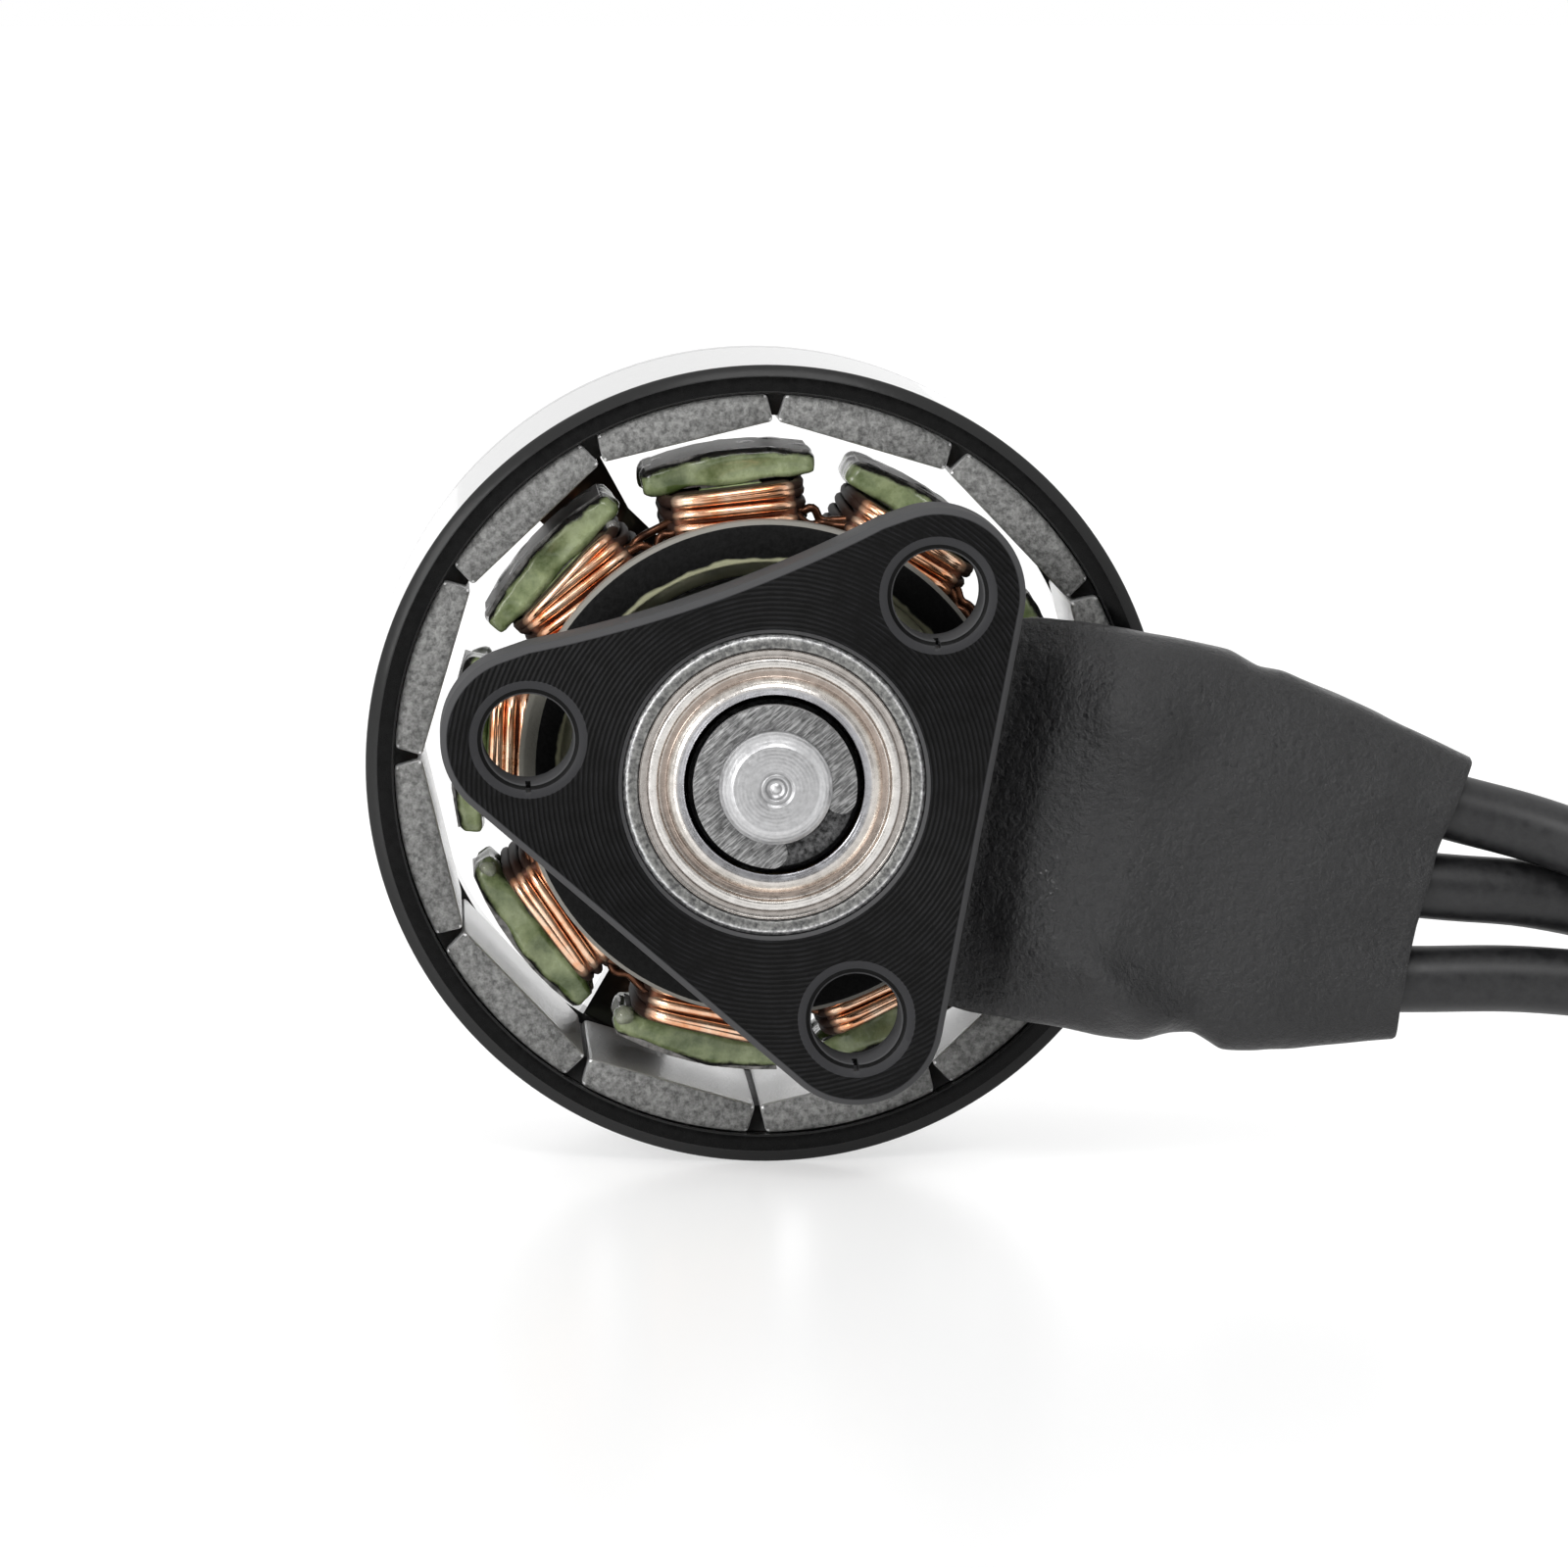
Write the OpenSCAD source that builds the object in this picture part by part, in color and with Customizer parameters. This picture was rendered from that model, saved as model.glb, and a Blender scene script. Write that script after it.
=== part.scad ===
// Micro brushless outrunner motor with a three-hole mounting plate and three silicone leads.
// The axis lies along Y: the mounting face is at y = 0 and the bell is behind it.
// The motor stands on the rim of its bell, with Z up and the leads running off along X.

/* [Mounting plate] */
// Diameter of the circle through the three screw holes
screw_circle_d = 6.6; // [6.2:0.1:7.2]
// Diameter of each tapped screw hole
screw_hole_d = 1.2; // [1:0.05:1.4]
// Radius of the rounded lobe round each screw hole
lobe_r = 1.16; // [1.05:0.01:1.4]
// Thickness of the plate
plate_t = 1.2; // [1:0.05:1.6]
// Width of the bevel along the edge of the plate
plate_bevel = 0.09; // [0.05:0.01:0.15]
// Width of the bevel at the mouth of each screw hole
mouth_bevel = 0.18; // [0.1:0.01:0.25]
// Angle of the first screw hole, from +X towards +Z
first_hole_angle = 49.2; // [30:0.1:60]

/* [Bearings and shaft] */
// Diameter of the shaft
shaft_d = 1.5; // [1.4:0.02:1.6]
// Outer diameter of each ball bearing
bearing_d = 4; // [3.9:0.02:4.1]
// Width of each ball bearing
bearing_w = 1.2; // [1.1:0.05:1.4]
// Diameter of a bearing ball
ball_d = 0.6; // [0.5:0.02:0.64]
// Length of the shaft that stands out of the bell for the propeller
prop_end_l = 4.4; // [3:0.1:6]
// How far the other end of the shaft stands out of the mounting face
clip_end_l = 0.5; // [0.45:0.01:0.7]
// Thickness of the retaining clip
clip_t = 0.2; // [0.15:0.01:0.22]

/* [Stator] */
// Height of the stack of laminations
stack_h = 2; // [1.8:0.1:2.4]
// Width of a tooth between its windings
tooth_w = 0.8; // [0.7:0.02:0.9]
// Radial thickness of a tooth tip
tip_t = 0.46; // [0.35:0.01:0.5]
// Opening between two tooth tips
slot_open = 0.7; // [0.5:0.05:0.9]
// Thickness of the green coating on each end of the stack
coat_t = 0.12; // [0.08:0.01:0.15]

/* [Windings] */
// Diameter of the enamelled wire
wire_d = 0.15; // [0.12:0.005:0.16]
// Turns of wire in the outer layer of each coil
wire_turns = 5; // [3:1:5]
// Length of a coil along its tooth
coil_l = 0.9; // [0.85:0.01:1]
// Height of a coil's inner layers over the end of the stack
head_build = 0.42; // [0.3:0.01:0.45]

/* [Bell] */
// Wall of the flux ring
flux_wall = 0.38; // [0.3:0.01:0.42]
// Gap between the mounting plate and the rim of the bell
rim_gap = 1.2; // [1.15:0.05:1.4]
// Running gap between the tooth tips and the flat faces of the magnets
air_gap = 0.24; // [0.2:0.01:0.28]
// Thickness of a magnet in its middle
magnet_t = 0.52; // [0.45:0.01:0.6]
// Height of a magnet
magnet_h = 3.8; // [3.5:0.05:4]
// Width of a spoke of the bell, halfway out
spoke_w = 1.25; // [0.9:0.05:1.4]
// Angle of the first spoke, from +X towards +Z
spoke_angle = 127; // [100:1:130]

/* [Heat shrink sleeve] */
// Greatest width of the flattened sleeve
sleeve_w = 5.2; // [4.9:0.1:5.4]
// Greatest thickness of the flattened sleeve
sleeve_t = 1.5; // [1.4:0.02:1.6]
// Diameter of a silicone lead
lead_d = 0.84; // [0.8:0.01:0.86]

/* [Hidden] */
$fn = 96;

// Overrun of every cut, and the clearances that the pieces share
cut = 0.5;
fit_gap = 0.01;
run_gap = 0.02;

// Counts that the names of the pieces fix
hole_count = 3;
tooth_count = 9;
magnet_count = 12;
spoke_count = 3;
ball_count = 7;

// Plate: centre circle of its holes and distance of its straight sides from the axis
screw_circle_r = screw_circle_d / 2;
half_turn = 180;
side_angle = half_turn / hole_count;
side_distance = screw_circle_r * cos(side_angle) + lobe_r;
hole_angles = [for (i = [0:hole_count - 1]) first_hole_angle + i * 2 * side_angle];

// Bearings: radii of rings, raceway and shields, and places of the parts along the width
shaft_r = shaft_d / 2;
bearing_r = bearing_d / 2;
ball_r = ball_d / 2;
inner_ring_wall = 0.39;
outer_ring_wall = 0.38;
inner_land_r = shaft_r + inner_ring_wall;
outer_land_r = bearing_r - outer_ring_wall;
ball_circle_r = (inner_land_r + outer_land_r) / 2;
ring_bevel = 0.05;
shield_t = 0.08;
shield_inset = 0.04;
shield_gap = 0.05;
shield_lip = 0.06;
shield_lip_w = 0.12;
cage_gap = 0.06;
cage_end_gap = 0.03;
cage_front_share = 0.4;
bearing_step = 0.3;

// Bearing tube of the base, its shoulder under the stator and the seats of both bearings
tube_wall = 0.3;
tube_r = bearing_r + fit_gap + tube_wall;
shoulder_w = 0.2;
shoulder_r = tube_r + shoulder_w;
face_inset = 0.02;
lower_bearing_y = face_inset;

// Stator: the stack stands on the shoulder, behind the rim of the bell
rim_y = plate_t + rim_gap;
stack_inset = 0.8;
stack_y = rim_y + stack_inset;
stack_mid_y = stack_y + stack_h / 2;
yoke_in_r = tube_r + fit_gap;
yoke_w = 0.43;
yoke_r = yoke_in_r + yoke_w;
coil_gap = 0.1;
tip_gap = 0.04;
coil_in_r = yoke_r + coil_gap;
coil_out_r = coil_in_r + coil_l;
tip_in_r = coil_out_r + tip_gap;
stator_r = tip_in_r + tip_t;
tooth_pitch = 2 * half_turn / tooth_count;
first_tooth_angle = 17;
tip_angle = tooth_pitch - 2 * asin(slot_open / (2 * stator_r));
coat_inset = 0.06;
coat_grow = 0.04;

// Coils: plain inner layers, and an outer layer wound as one wire
coil_side_gap = 0.035;
coil_half_w = coil_in_r * tan(tooth_pitch / 2) - coil_side_gap;
wire_r = wire_d / 2;
wire_end_room = 0.05;
wire_pitch = (coil_l - wire_end_room) / wire_turns;
wire_seat = 0.03;
core_half_w = coil_half_w - wire_d - wire_seat;
core_half_h = stack_h / 2 + coat_t + fit_gap + head_build;
coil_half_h = core_half_h + wire_seat + wire_d;
core_corner_r = 0.28;
wire_sides = 6;
wire_steps = 16;
wire_mid_share = 0.5;

// Insulating ring that lies on the heads of the coils
ring_t = 0.4;
ring_overhang = 0.03;
ring_w = 0.56;
ring_in_r = yoke_r + ring_overhang;
ring_bevel_w = 0.1;
ring_seat = 0.05;
ring_y = stack_mid_y - coil_half_h - ring_seat - ring_t;

// Wires between coils, and wires from the coils up to the sleeve
jumper_r = ring_in_r + ring_w + wire_d;
jumper_spread_share = 0.14;
jumper_behind_head = 0.3;
tail_bundle_d = 0.22;
tail_gap = 0.05;
tail_circle_r = ring_in_r + ring_w + tail_gap + tail_bundle_d / 2;
tail_step_angle = 24;

// Bell: flux ring, magnets and cap
magnet_flat_r = stator_r + air_gap;
magnet_out_r = magnet_flat_r + magnet_t;
flux_in_r = magnet_out_r + fit_gap;
bell_r = flux_in_r + flux_wall;
flux_bevel = 0.08;
magnet_pitch = 2 * half_turn / magnet_count;
first_magnet_angle = 13.5;
magnet_side_gap = 0.018;
magnet_half_w = magnet_flat_r * tan(magnet_pitch / 2) - magnet_side_gap;
magnet_corner = 0.12;
magnet_inset = 0.1;
magnet_end_gap = 0.2;
lip_l = 0.3;
flux_h = magnet_inset + magnet_h + magnet_end_gap + lip_l;
cap_y = rim_y + flux_h;
cap_ring_w = 0.8;
cap_in_r = bell_r - cap_ring_w;
cap_side_h = 0.4;
cap_bevel = 0.35;
cap_rise = 0.55;
hub_y = cap_y + cap_rise;
hub_wall = 0.95;
hub_r = shaft_r + hub_wall;
hub_h = 1.45;
hub_bevel = 0.2;
web_t = 0.75;
spoke_root_share = 1.4;

// Upper bearing sits at the end of the tube, just under the shim and the hub
shim_t = 0.15;
shim_w = 0.35;
shim_r = shaft_r + shim_w;
shim_y = hub_y - fit_gap - shim_t;
upper_bearing_y = shim_y - fit_gap - bearing_w;
tube_end_y = shim_y - face_inset;

// Shaft, its clip groove and its ends
shaft_bevel = 0.2;
shaft_bevel_l = 0.14;
dimple_r = 0.2;
groove_depth = 0.09;
groove_r = shaft_r - groove_depth;
glue_groove_depth = 0.16;
glue_groove_w = 0.6;
glue_groove_out = 0.05;
clip_w = 0.41;
clip_in_r = groove_r + fit_gap;
clip_r = clip_in_r + clip_w;
clip_y = -face_inset - clip_t;
clip_open_angle = -51.5;
clip_open_half = 41.5;
shaft_l = clip_end_l + hub_y + hub_h + prop_end_l;

// Sleeve: it starts behind the straight side of the plate that faces +X
sleeve_turn = first_hole_angle - side_angle;
sleeve_tuck = 0.19;
sleeve_start = side_distance - sleeve_tuck;
sleeve_l = 6.45;
sleeve_set_back = 0.1;
sleeve_mid_y = plate_t + sleeve_set_back;
tongue_gap = 0.05;
tongue_mid_y = (plate_t + ring_y) / 2;
tongue_t = ring_y - plate_t - 2 * tongue_gap;
sleeve_sides = 20;
sleeve_squareness = 0.55;
// Rows of the sleeve: share of the length, shares of the width above and below, share of the thickness
sleeve_shares = [
    [0.15, 0.525, -0.5, 0.74],
    [0.27, 0.535, -0.5, 0.96],
    [0.40, 0.53, -0.49, 1],
    [0.54, 0.51, -0.45, 1],
    [0.70, 0.465, -0.445, 0.97],
    [0.86, 0.415, -0.41, 0.94],
    [1, 0.37, -0.365, 0.9]];

// Leads: points chosen along each one, then the coil that puts the rest away on the floor
lead_r = lead_d / 2;
lead_sides = 8;
coil_centre = [18.5, 6.2];
coil_lead_l = 21;
coil_steps = 16;
lead_a_points = [[7.3, 1.3, 0], [9.2, 1.3, -0.5], [10.4, 1.2, -0.83], [11.5, 0.9, -1.25],
    [12.6, 0.6, -1.9], [13.8, 0.4, -2.8], [15, 0.3, -3.75], [16.2, 0.3, -4.5],
    [17.4, 0.3, -4.88], [18.5, 0.3, -4.98]];
lead_b_points = [[7, 1.3, -1.35], [8.95, 1.3, -1.55], [10.4, 1.5, -1.72], [11.7, 1.8, -2.1],
    [13, 2.05, -2.8], [14.3, 2.1, -3.65], [15.6, 2.1, -4.4], [17, 2.1, -4.85],
    [18.5, 2.1, -4.98]];
lead_c_points = [[6.7, 1.3, -2.8], [8.6, 1.3, -2.8], [10.4, 1.3, -2.83], [11.9, 1.25, -3.05],
    [13.3, 1.2, -3.55], [14.6, 1.2, -4.15], [15.9, 1.2, -4.65], [17.2, 1.2, -4.9],
    [18.5, 1.2, -4.98]];
solder_r = 0.34;
solder_l = 1.3;
tip_r = 0.2;
tip_l = 1.5;

// Unit vector, and the direction of a line of points at its point i
function unit(v) = v / norm(v);
function heading(p, i) = unit(p[min(i + 1, len(p) - 1)] - p[max(i - 1, 0)]);

// Ring of points round point p, square to direction t, with one axis kept near the reference
function ring_at(p, t, reference, r, sides) =
    let (side = unit(cross(t, reference)), top = cross(side, t))
    [for (j = [0:sides - 1])
        let (a = j * 2 * half_turn / sides) p + r * cos(a) * side + r * sin(a) * top];

// Triangles that join the rings of a tube and close its two ends
function tube_faces(rings, sides) = concat(
    [for (i = [0:rings - 2], j = [0:sides - 1])
        let (a = i * sides + j, b = i * sides + (j + 1) % sides) [a, b, a + sides]],
    [for (i = [0:rings - 2], j = [0:sides - 1])
        let (a = i * sides + j, b = i * sides + (j + 1) % sides) [b, b + sides, a + sides]],
    [for (j = [1:sides - 2]) [0, j + 1, j]],
    [for (j = [1:sides - 2]) let (e = (rings - 1) * sides) [e, e + j, e + j + 1]]);

// Round tube along a line of points
module tube(points, r, sides, reference) {
    rings = [for (i = [0:len(points) - 1]) each ring_at(points[i], heading(points, i), reference, r, sides)];
    polyhedron(rings, tube_faces(len(points), sides));
}

// Turns what is drawn on an upright axis onto the motor's axis, at a distance behind the mounting face
module on_axis(y) {
    translate([0, y, 0]) rotate([-90, 0, 0]) children();
}

// Extrudes an outline drawn as seen from the front, from distance y behind the mounting face
module slab(y, t) {
    translate([0, y + t, 0]) rotate([90, 0, 0]) linear_extrude(t) children();
}

// Turns a piece about the motor's axis, from +X towards +Z
module at_angle(a) {
    rotate([0, -a, 0]) children();
}

// Washer-shaped solid on the motor's axis
module washer(y, t, outer_r, inner_r) {
    on_axis(y) difference() {
        cylinder(h = t, r = outer_r);
        translate([0, 0, -cut]) cylinder(h = t + 2 * cut, r = inner_r);
    }
}

// Triangle from the axis that covers a sector of the given half angle
module sector(r, half_angle) {
    reach = r / cos(half_angle);
    polygon([[0, 0], [reach * cos(half_angle), -reach * sin(half_angle)],
        [reach * cos(half_angle), reach * sin(half_angle)]]);
}

// Solid plate with three round lobes and a bevel along its front edge
module plate_blank() {
    hull() for (a = hole_angles) at_angle(a) translate([screw_circle_r, 0, 0]) {
        on_axis(0) cylinder(h = plate_bevel, r1 = lobe_r - plate_bevel, r2 = lobe_r);
        on_axis(plate_bevel) cylinder(h = plate_t - plate_bevel, r = lobe_r);
    }
}

// Base: mounting plate with its bearing tube, turned from one piece of aluminium
module base() {
    mouth_r = screw_hole_d / 2 + mouth_bevel;
    seat_r = bearing_r + fit_gap;
    bore_r = bearing_r - bearing_step;
    color([0.06, 0.06, 0.065]) difference() {
        union() {
            plate_blank();
            on_axis(0) cylinder(h = stack_y - coat_t, r = shoulder_r);
            on_axis(0) cylinder(h = tube_end_y, r = tube_r);
        }
        for (a = hole_angles) at_angle(a) translate([screw_circle_r, 0, 0]) {
            on_axis(-cut) cylinder(h = plate_t + 2 * cut, r = screw_hole_d / 2);
            on_axis(0) rotate_extrude()
                polygon([[0, -cut], [mouth_r + cut, -cut], [mouth_r, 0], [mouth_r - mouth_bevel, mouth_bevel],
                    [0, mouth_bevel]]);
        }
        on_axis(-cut) cylinder(h = tube_end_y + 2 * cut, r = bore_r);
        on_axis(-cut) cylinder(h = lower_bearing_y + bearing_w + cut, r = seat_r);
        on_axis(upper_bearing_y) cylinder(h = bearing_w + 2 * cut, r = seat_r);
    }
}

// Black insulating ring on the heads of the coils, with a bevelled outer edge
module insulator_ring() {
    ring_out_r = ring_in_r + ring_w;
    color([0.08, 0.08, 0.085]) on_axis(ring_y) rotate_extrude()
        polygon([[ring_in_r, 0], [ring_out_r - ring_bevel_w, 0], [ring_out_r, ring_bevel_w],
            [ring_out_r, ring_t], [ring_in_r, ring_t]]);
}

// Outline of one lamination: yoke, nine teeth and their tips
module lamination(tip_r, grow) {
    difference() {
        union() {
            circle(r = yoke_r + grow);
            for (i = [0:tooth_count - 1]) rotate(first_tooth_angle + i * tooth_pitch) {
                translate([yoke_in_r, -tooth_w / 2 - grow])
                    square([tip_in_r - yoke_in_r + tip_t / 2, tooth_w + 2 * grow]);
                intersection() {
                    circle(r = tip_r);
                    sector(2 * stator_r, tip_angle / 2);
                    translate([tip_in_r, -stator_r]) square([tip_t, 2 * stator_r]);
                }
            }
        }
        circle(r = yoke_in_r);
    }
}

// Stack of steel laminations
module stator_core() {
    color([0.22, 0.21, 0.2]) slab(stack_y, stack_h) lamination(stator_r, 0);
}

// Green epoxy coating on both ends of the stack
module stator_coating() {
    color([0.32, 0.42, 0.2]) for (y = [stack_y - coat_t, stack_y + stack_h])
        slab(y, coat_t) lamination(stator_r - coat_inset, coat_grow);
}

// Rectangle with round corners, centred
module round_rectangle(half_w, half_h, corner) {
    square([2 * half_w, 2 * (half_h - corner)], center = true);
    square([2 * (half_w - corner), 2 * half_h], center = true);
    for (x = [-1, 1], y = [-1, 1])
        translate([x * (half_w - corner), y * (half_h - corner)]) circle(r = corner);
}

// One turn of the wire's centre line round a tooth: a straight run's middle, then three points of a corner
wire_half_w = core_half_w + wire_seat + wire_r;
wire_half_h = core_half_h + wire_seat + wire_r;
wire_corner = core_corner_r + wire_seat + wire_r;
wire_turn = [for (k = [0:3])
    let (ends = [[1, 1], [-1, 1], [-1, -1], [1, -1]][k], mids = [[1, 0], [0, 1], [-1, 0], [0, -1]][k])
    each concat([[mids[0] * wire_half_w, mids[1] * wire_half_h]],
        [for (step = [0:2]) let (a = (k + step / 2) * half_turn / 2)
            [ends[0] * (wire_half_w - wire_corner) + wire_corner * cos(a),
                ends[1] * (wire_half_h - wire_corner) + wire_corner * sin(a)]])];

// The whole wire of a coil on a tooth that points along +X, wound outwards one pitch a turn
wire_start_r = coil_out_r - wire_r - wire_turns * wire_pitch;
wire_points = [for (i = [0:wire_turns * wire_steps])
    let (spot = wire_turn[i % wire_steps]) [wire_start_r + wire_pitch * i / wire_steps, spot[1], spot[0]]];

// Least gap of the wire to itself, between points that are half a turn or more apart
wire_least_gap = min([for (i = [0:len(wire_points) - 1], j = [i + wire_steps / 2:1:len(wire_points) - 1])
    norm(wire_points[i] - wire_points[j])]) - wire_d;
echo(wire_least_gap = wire_least_gap);

// Coil on one tooth: plain inner layers under an outer layer that is one unbroken wire
module coil(i) {
    hole_half_w = tooth_w / 2 + coat_grow + fit_gap;
    hole_half_h = stack_h / 2 + coat_t + fit_gap;
    at_angle(first_tooth_angle + (i - 1) * tooth_pitch) translate([0, stack_mid_y, 0]) {
        color([0.55, 0.27, 0.13]) translate([coil_in_r, 0, 0]) rotate([0, 90, 0])
            linear_extrude(coil_out_r - coil_in_r) difference() {
                round_rectangle(core_half_w, core_half_h, core_corner_r);
                square([2 * hole_half_w, 2 * hole_half_h], center = true);
            }
        color([0.82, 0.45, 0.25]) tube(wire_points, wire_r, wire_sides, [1, 0, 0]);
    }
}

// Short arcs of wire that cross the slots from coil to coil, at the edge of the insulating ring
module jumper_wires() {
    color([0.4, 0.17, 0.09]) for (i = [0:tooth_count - 1])
        at_angle(first_tooth_angle + (i + wire_mid_share - jumper_spread_share / 2) * tooth_pitch)
            translate([0, stack_mid_y - coil_half_h + jumper_behind_head, 0]) rotate([90, 0, 0])
                rotate_extrude(angle = jumper_spread_share * tooth_pitch)
                    translate([jumper_r, 0]) circle(r = wire_r, $fn = 24);
}

// Ends of the three phase windings, rising from the coils into the sleeve
module winding_tails() {
    sleeve_back_y = tongue_mid_y + tongue_t / 2;
    tail_l = stack_mid_y - coil_half_h - sleeve_back_y - 2 * tongue_gap;
    color([0.5, 0.24, 0.12]) for (i = [-1:1])
        at_angle(sleeve_turn + i * tail_step_angle) translate([tail_circle_r, 0, 0])
            on_axis(sleeve_back_y + tongue_gap) cylinder(h = tail_l, d = tail_bundle_d);
}

// Outline of the flattened sleeve at one row: a ring of points between an oval and a rectangle
function sleeve_ring(along, up, down, t, y) =
    [for (j = [0:sleeve_sides - 1])
        let (a = j * 2 * half_turn / sleeve_sides, c = cos(a), s = sin(a))
        [along, y + sign(s) * pow(abs(s), sleeve_squareness) * t / 2,
            (up + down) / 2 + sign(c) * pow(abs(c), sleeve_squareness) * (up - down) / 2]];

// Heat shrink sleeve over the joints of the three leads, tucked in behind the plate
module heat_shrink() {
    first = sleeve_shares[0];
    tongue_end = side_distance + tongue_gap;
    rows = concat(
        [for (u = [sleeve_start, tongue_end]) sleeve_ring(u, first[1] * sleeve_w, first[2] * sleeve_w, tongue_t, tongue_mid_y)],
        [for (r = sleeve_shares) sleeve_ring(sleeve_start + r[0] * sleeve_l, r[1] * sleeve_w, r[2] * sleeve_w,
            r[3] * sleeve_t, sleeve_mid_y)]);
    color([0.07, 0.07, 0.075]) difference() {
        at_angle(sleeve_turn) polyhedron([for (r = rows) each r], tube_faces(len(rows), sleeve_sides));
        for (p = [lead_a_points, lead_b_points, lead_c_points]) along_line(p[0], p[1]) {
            cylinder(h = sleeve_l, r = lead_r + fit_gap);
            translate([0, 0, -solder_l]) cylinder(h = solder_l + cut, r = solder_r + fit_gap);
        }
    }
}

// Stands an upright piece on point a, pointing to point b
module along_line(a, b) {
    d = unit(b - a);
    translate(a) rotate([0, acos(d[2]), atan2(d[1], d[0])]) children();
}

// Soldered ends of the phase windings, inside the sleeve
module solder_joints() {
    color([0.75, 0.76, 0.78]) for (p = [lead_a_points, lead_b_points, lead_c_points])
        along_line(p[0], p[1]) translate([0, 0, -solder_l + fit_gap])
            cylinder(h = solder_l - fit_gap, r1 = solder_r / 2, r2 = solder_r);
}

// Route of a lead: its chosen points, and its arc of the coil on the floor
function lead_route(points) =
    let (last = points[len(points) - 1], r = coil_centre[1] - last[1])
    concat(points, [for (i = [1:coil_steps]) let (a = i * coil_lead_l / coil_steps / r * half_turn / PI)
        [coil_centre[0] + r * sin(a), coil_centre[1] - r * cos(a), last[2]]]);

// Silicone lead
module lead(points) {
    color([0.08, 0.08, 0.085]) tube(lead_route(points), lead_r, lead_sides, [0, 0, 1]);
}

// Tinned bare ends of the three leads
module lead_tips() {
    color([0.78, 0.78, 0.8]) for (p = [lead_a_points, lead_b_points, lead_c_points]) {
        route = lead_route(p);
        last = len(route) - 1;
        along_line(route[last], route[last] + heading(route, last)) {
            cylinder(h = tip_l - tip_r, r = tip_r);
            translate([0, 0, tip_l - tip_r]) cylinder(h = tip_r, r1 = tip_r, r2 = tip_r / 2);
        }
    }
}

// Outer ring of a ball bearing, with its raceway
module outer_ring(y) {
    color([0.72, 0.72, 0.74]) on_axis(y) rotate_extrude() difference() {
        polygon([[outer_land_r, 0], [bearing_r - ring_bevel, 0], [bearing_r, ring_bevel],
            [bearing_r, bearing_w - ring_bevel], [bearing_r - ring_bevel, bearing_w], [outer_land_r, bearing_w]]);
        translate([ball_circle_r, bearing_w / 2]) circle(r = ball_r + run_gap);
    }
}

// Inner ring of a ball bearing, with its raceway
module inner_ring(y) {
    bore_r = shaft_r + fit_gap;
    color([0.76, 0.76, 0.78]) on_axis(y) rotate_extrude() difference() {
        polygon([[bore_r, 0], [inner_land_r, 0], [inner_land_r, bearing_w], [bore_r, bearing_w]]);
        translate([ball_circle_r, bearing_w / 2]) circle(r = ball_r + run_gap);
    }
}

// Pair of pressed steel shields, each with a raised lip round its middle
module shields(y) {
    shield_in_r = inner_land_r + shield_gap;
    shield_out_r = outer_land_r - fit_gap;
    lip_mid_r = (shield_in_r + shield_out_r) / 2;
    color([0.68, 0.66, 0.64]) for (side = [0, 1]) on_axis(y + side * bearing_w) mirror([0, 0, side])
        rotate_extrude() polygon([[shield_in_r, shield_inset], [lip_mid_r - shield_lip_w, shield_inset],
            [lip_mid_r, shield_inset + shield_lip / 2], [shield_out_r, shield_inset + shield_lip / 2],
            [shield_out_r, shield_inset + shield_lip / 2 + shield_t],
            [shield_in_r, shield_inset + shield_t]]);
}

// Set of bearing balls, in the middle of the bearing's width
module balls(y) {
    color([0.85, 0.85, 0.87]) for (i = [0:ball_count - 1])
        at_angle(i * 2 * half_turn / ball_count) translate([ball_circle_r, y + bearing_w / 2, 0])
            sphere(r = ball_r);
}

// Cage that spaces the balls, with round pockets open on the side away from its solid back
module cage(y) {
    mid_y = y + bearing_w / 2;
    back_y = y + shield_inset + shield_lip / 2 + shield_t + cage_end_gap;
    cage_l = mid_y + cage_front_share * ball_r - back_y;
    color([0.62, 0.5, 0.28]) difference() {
        washer(back_y, cage_l, outer_land_r - cage_gap, inner_land_r + cage_gap);
        for (i = [0:ball_count - 1])
            at_angle(i * 2 * half_turn / ball_count) translate([ball_circle_r, 0, 0])
                on_axis(mid_y - ball_r - run_gap) cylinder(h = cage_l, r = ball_r + run_gap);
    }
}

// Ground steel shaft with a clip groove, a groove for glue at the mouth of the hub, and bevelled ends
module shaft() {
    groove_start = clip_end_l + clip_y - fit_gap;
    groove_end = groove_start + clip_t + 2 * fit_gap;
    glue_end = clip_end_l + hub_y + hub_h + glue_groove_out;
    glue_start = glue_end - glue_groove_w;
    glue_r = shaft_r - glue_groove_depth;
    color([0.8, 0.8, 0.82]) on_axis(-clip_end_l) rotate_extrude()
        polygon([[0, dimple_r / 2], [dimple_r, 0], [shaft_r - shaft_bevel, 0], [shaft_r, shaft_bevel_l],
            [shaft_r, groove_start], [groove_r, groove_start], [groove_r, groove_end], [shaft_r, groove_end],
            [shaft_r, glue_start], [glue_r, glue_start], [glue_r, glue_end], [shaft_r, glue_end],
            [shaft_r, shaft_l - shaft_bevel_l], [shaft_r - shaft_bevel_l, shaft_l], [0, shaft_l]]);
}

// Open retaining clip in the shaft's groove, with round ends
module retaining_clip() {
    color([0.55, 0.54, 0.52]) slab(clip_y, clip_t) {
        difference() {
            circle(r = clip_r);
            circle(r = clip_in_r);
            rotate(clip_open_angle) sector(2 * clip_r, clip_open_half);
        }
        for (side = [-1, 1]) rotate(clip_open_angle + side * clip_open_half)
            translate([clip_in_r + clip_w / 2, 0]) circle(r = clip_w / 2, $fn = 32);
    }
}

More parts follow.
